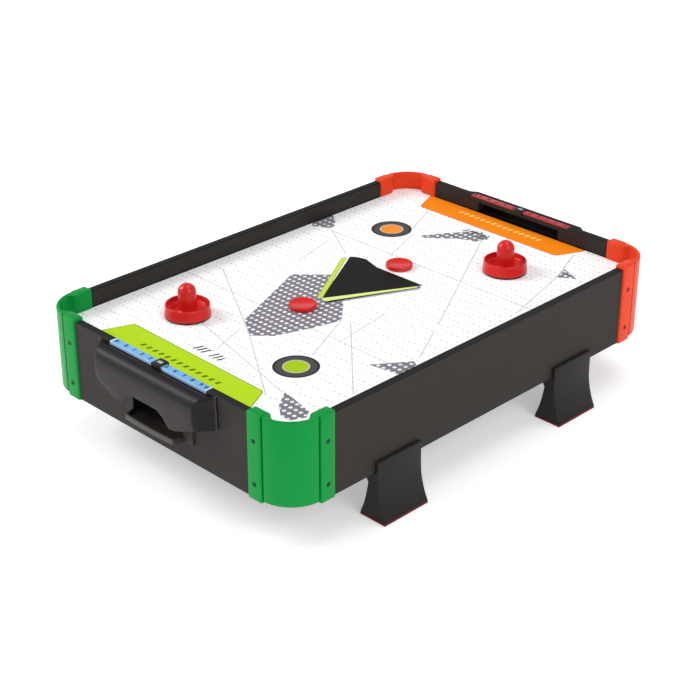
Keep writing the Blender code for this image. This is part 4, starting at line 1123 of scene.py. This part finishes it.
def puck_mesh():
    """A disc with rounded edges and a shallow dish in both faces."""
    radius = 13
    half = 2.1
    side = arc((radius - 0.9, half - 0.9), 0.9, 90, 0, 6)
    face = [(0, half - 0.35), (9.6, half - 0.35), (10.2, half)]
    upper = face + side
    lower = [(x, -z) for x, z in reversed(upper)]
    mesh = turned_mesh(upper + lower, 96)
    return finished(moved(mesh, (0, 0, half)))


def add_game():
    mallet = mallet_mesh()
    ring = felt_mesh()
    puck = puck_mesh()
    base = PLAYFIELD_TOP + GAP
    for name, place in (("near", MALLET_NEAR), ("far", MALLET_FAR)):
        body = "mallet_%s_body" % name
        mallet_node, pad_node = "mallet_" + name, "mallet_pad_" + name
        upper = (*place, base + FELT_THICKNESS + GAP)
        add_piece("fine_" + mallet_node, mallet, RED, "red_plastic", body, [mallet_node], upper)
        add_piece("fine_" + pad_node, ring, FELT, "black_felt", body, [pad_node], (*place, base))
    for name, place in (("near", PUCK_NEAR), ("far", PUCK_FAR)):
        node = "puck_" + name
        add_piece("fine_" + node, puck, RED, "red_plastic", node + "_body", [node], (*place, base))


add_corners()
add_ends()
add_legs()
add_game()
SCENE.collection.children.unlink(SCRATCH)


# ---- floor, light and camera --------------------------------------------------------------------
def add_floor():
    paint = Paint("pale_floor", Specular_IOR_Level=0.1, Emission_Strength=0.38)
    paint.set(Emission_Color=(1, 1, 1, 1))
    cloud = paint.noise(400, 2)
    paint.set(Base_Color=paint.mix(linear(243, 243, 243), linear(247, 247, 247), cloud))
    paint.set(Roughness=0.8)
    reach = 9000
    sheet = grid_mesh([[(x, y, -0.05) for x in (-reach, reach)] for y in (reach, -reach)])
    floor = bpy.data.objects.new("floor", finished(sheet))
    floor.data.materials.append(paint.material)
    SCENE.collection.objects.link(floor)


def add_softbox(name, place, power, size):
    light = bpy.data.lights.new(name, "AREA")
    light.shape = "DISK"
    light.size = size
    light.energy = power
    item = bpy.data.objects.new(name, light)
    item.location = place
    item.rotation_mode = "QUATERNION"
    item.rotation_quaternion = (Vector((0, 0, 0.08)) - Vector(place)).to_track_quat("-Z", "Y")
    SCENE.collection.objects.link(item)


def add_light():
    world = bpy.data.worlds.new("studio")
    world.use_nodes = True
    tree = world.node_tree
    aim = tree.nodes.new("ShaderNodeTexCoord").outputs["Generated"]
    parts = tree.nodes.new("ShaderNodeSeparateXYZ")
    tree.links.new(aim, parts.inputs[0])
    fade = tree.nodes.new("ShaderNodeMapRange")
    tree.links.new(parts.outputs[2], fade.inputs["Value"])
    for label, value in (("From Min", 0.1), ("From Max", 0.45), ("To Min", 1.0), ("To Max", 0.35)):
        fade.inputs[label].default_value = value
    tree.links.new(fade.outputs[0], tree.nodes["Background"].inputs["Strength"])
    tree.nodes["Background"].inputs["Color"].default_value = (1, 1, 1, 1)
    SCENE.world = world
    add_softbox("key", (-2.1, -1.5, 1.9), 58, 1.6)
    add_softbox("fill", (2.0, -0.3, 1.5), 18, 1.4)
    add_softbox("overhead", (0.2, 0.6, 2.6), 24, 2.0)


def add_camera():
    """The photograph's view: 45 degrees round from the near end and 27 degrees up."""
    azimuth = math.radians(44.984)
    elevation = math.radians(27.026)
    roll = math.radians(0.028)
    level = math.cos(elevation)
    rise = math.sin(elevation)
    back = Vector((math.sin(azimuth) * level, -math.cos(azimuth) * level, rise))
    right = Vector((math.cos(azimuth), math.sin(azimuth), 0))
    up = back.cross(right)
    data = bpy.data.cameras.new("camera")
    data.lens = 85.92
    data.sensor_width = 36
    camera = bpy.data.objects.new("camera", data)
    turn = Matrix((right, up, back)).transposed() @ Matrix.Rotation(roll, 3, "Z")
    camera.matrix_world = Matrix.Translation((0.94872, -0.97335, 0.75494)) @ turn.to_4x4()
    SCENE.collection.objects.link(camera)
    SCENE.camera = camera


add_floor()
add_light()
add_camera()
SCENE.view_settings.view_transform = "Standard"
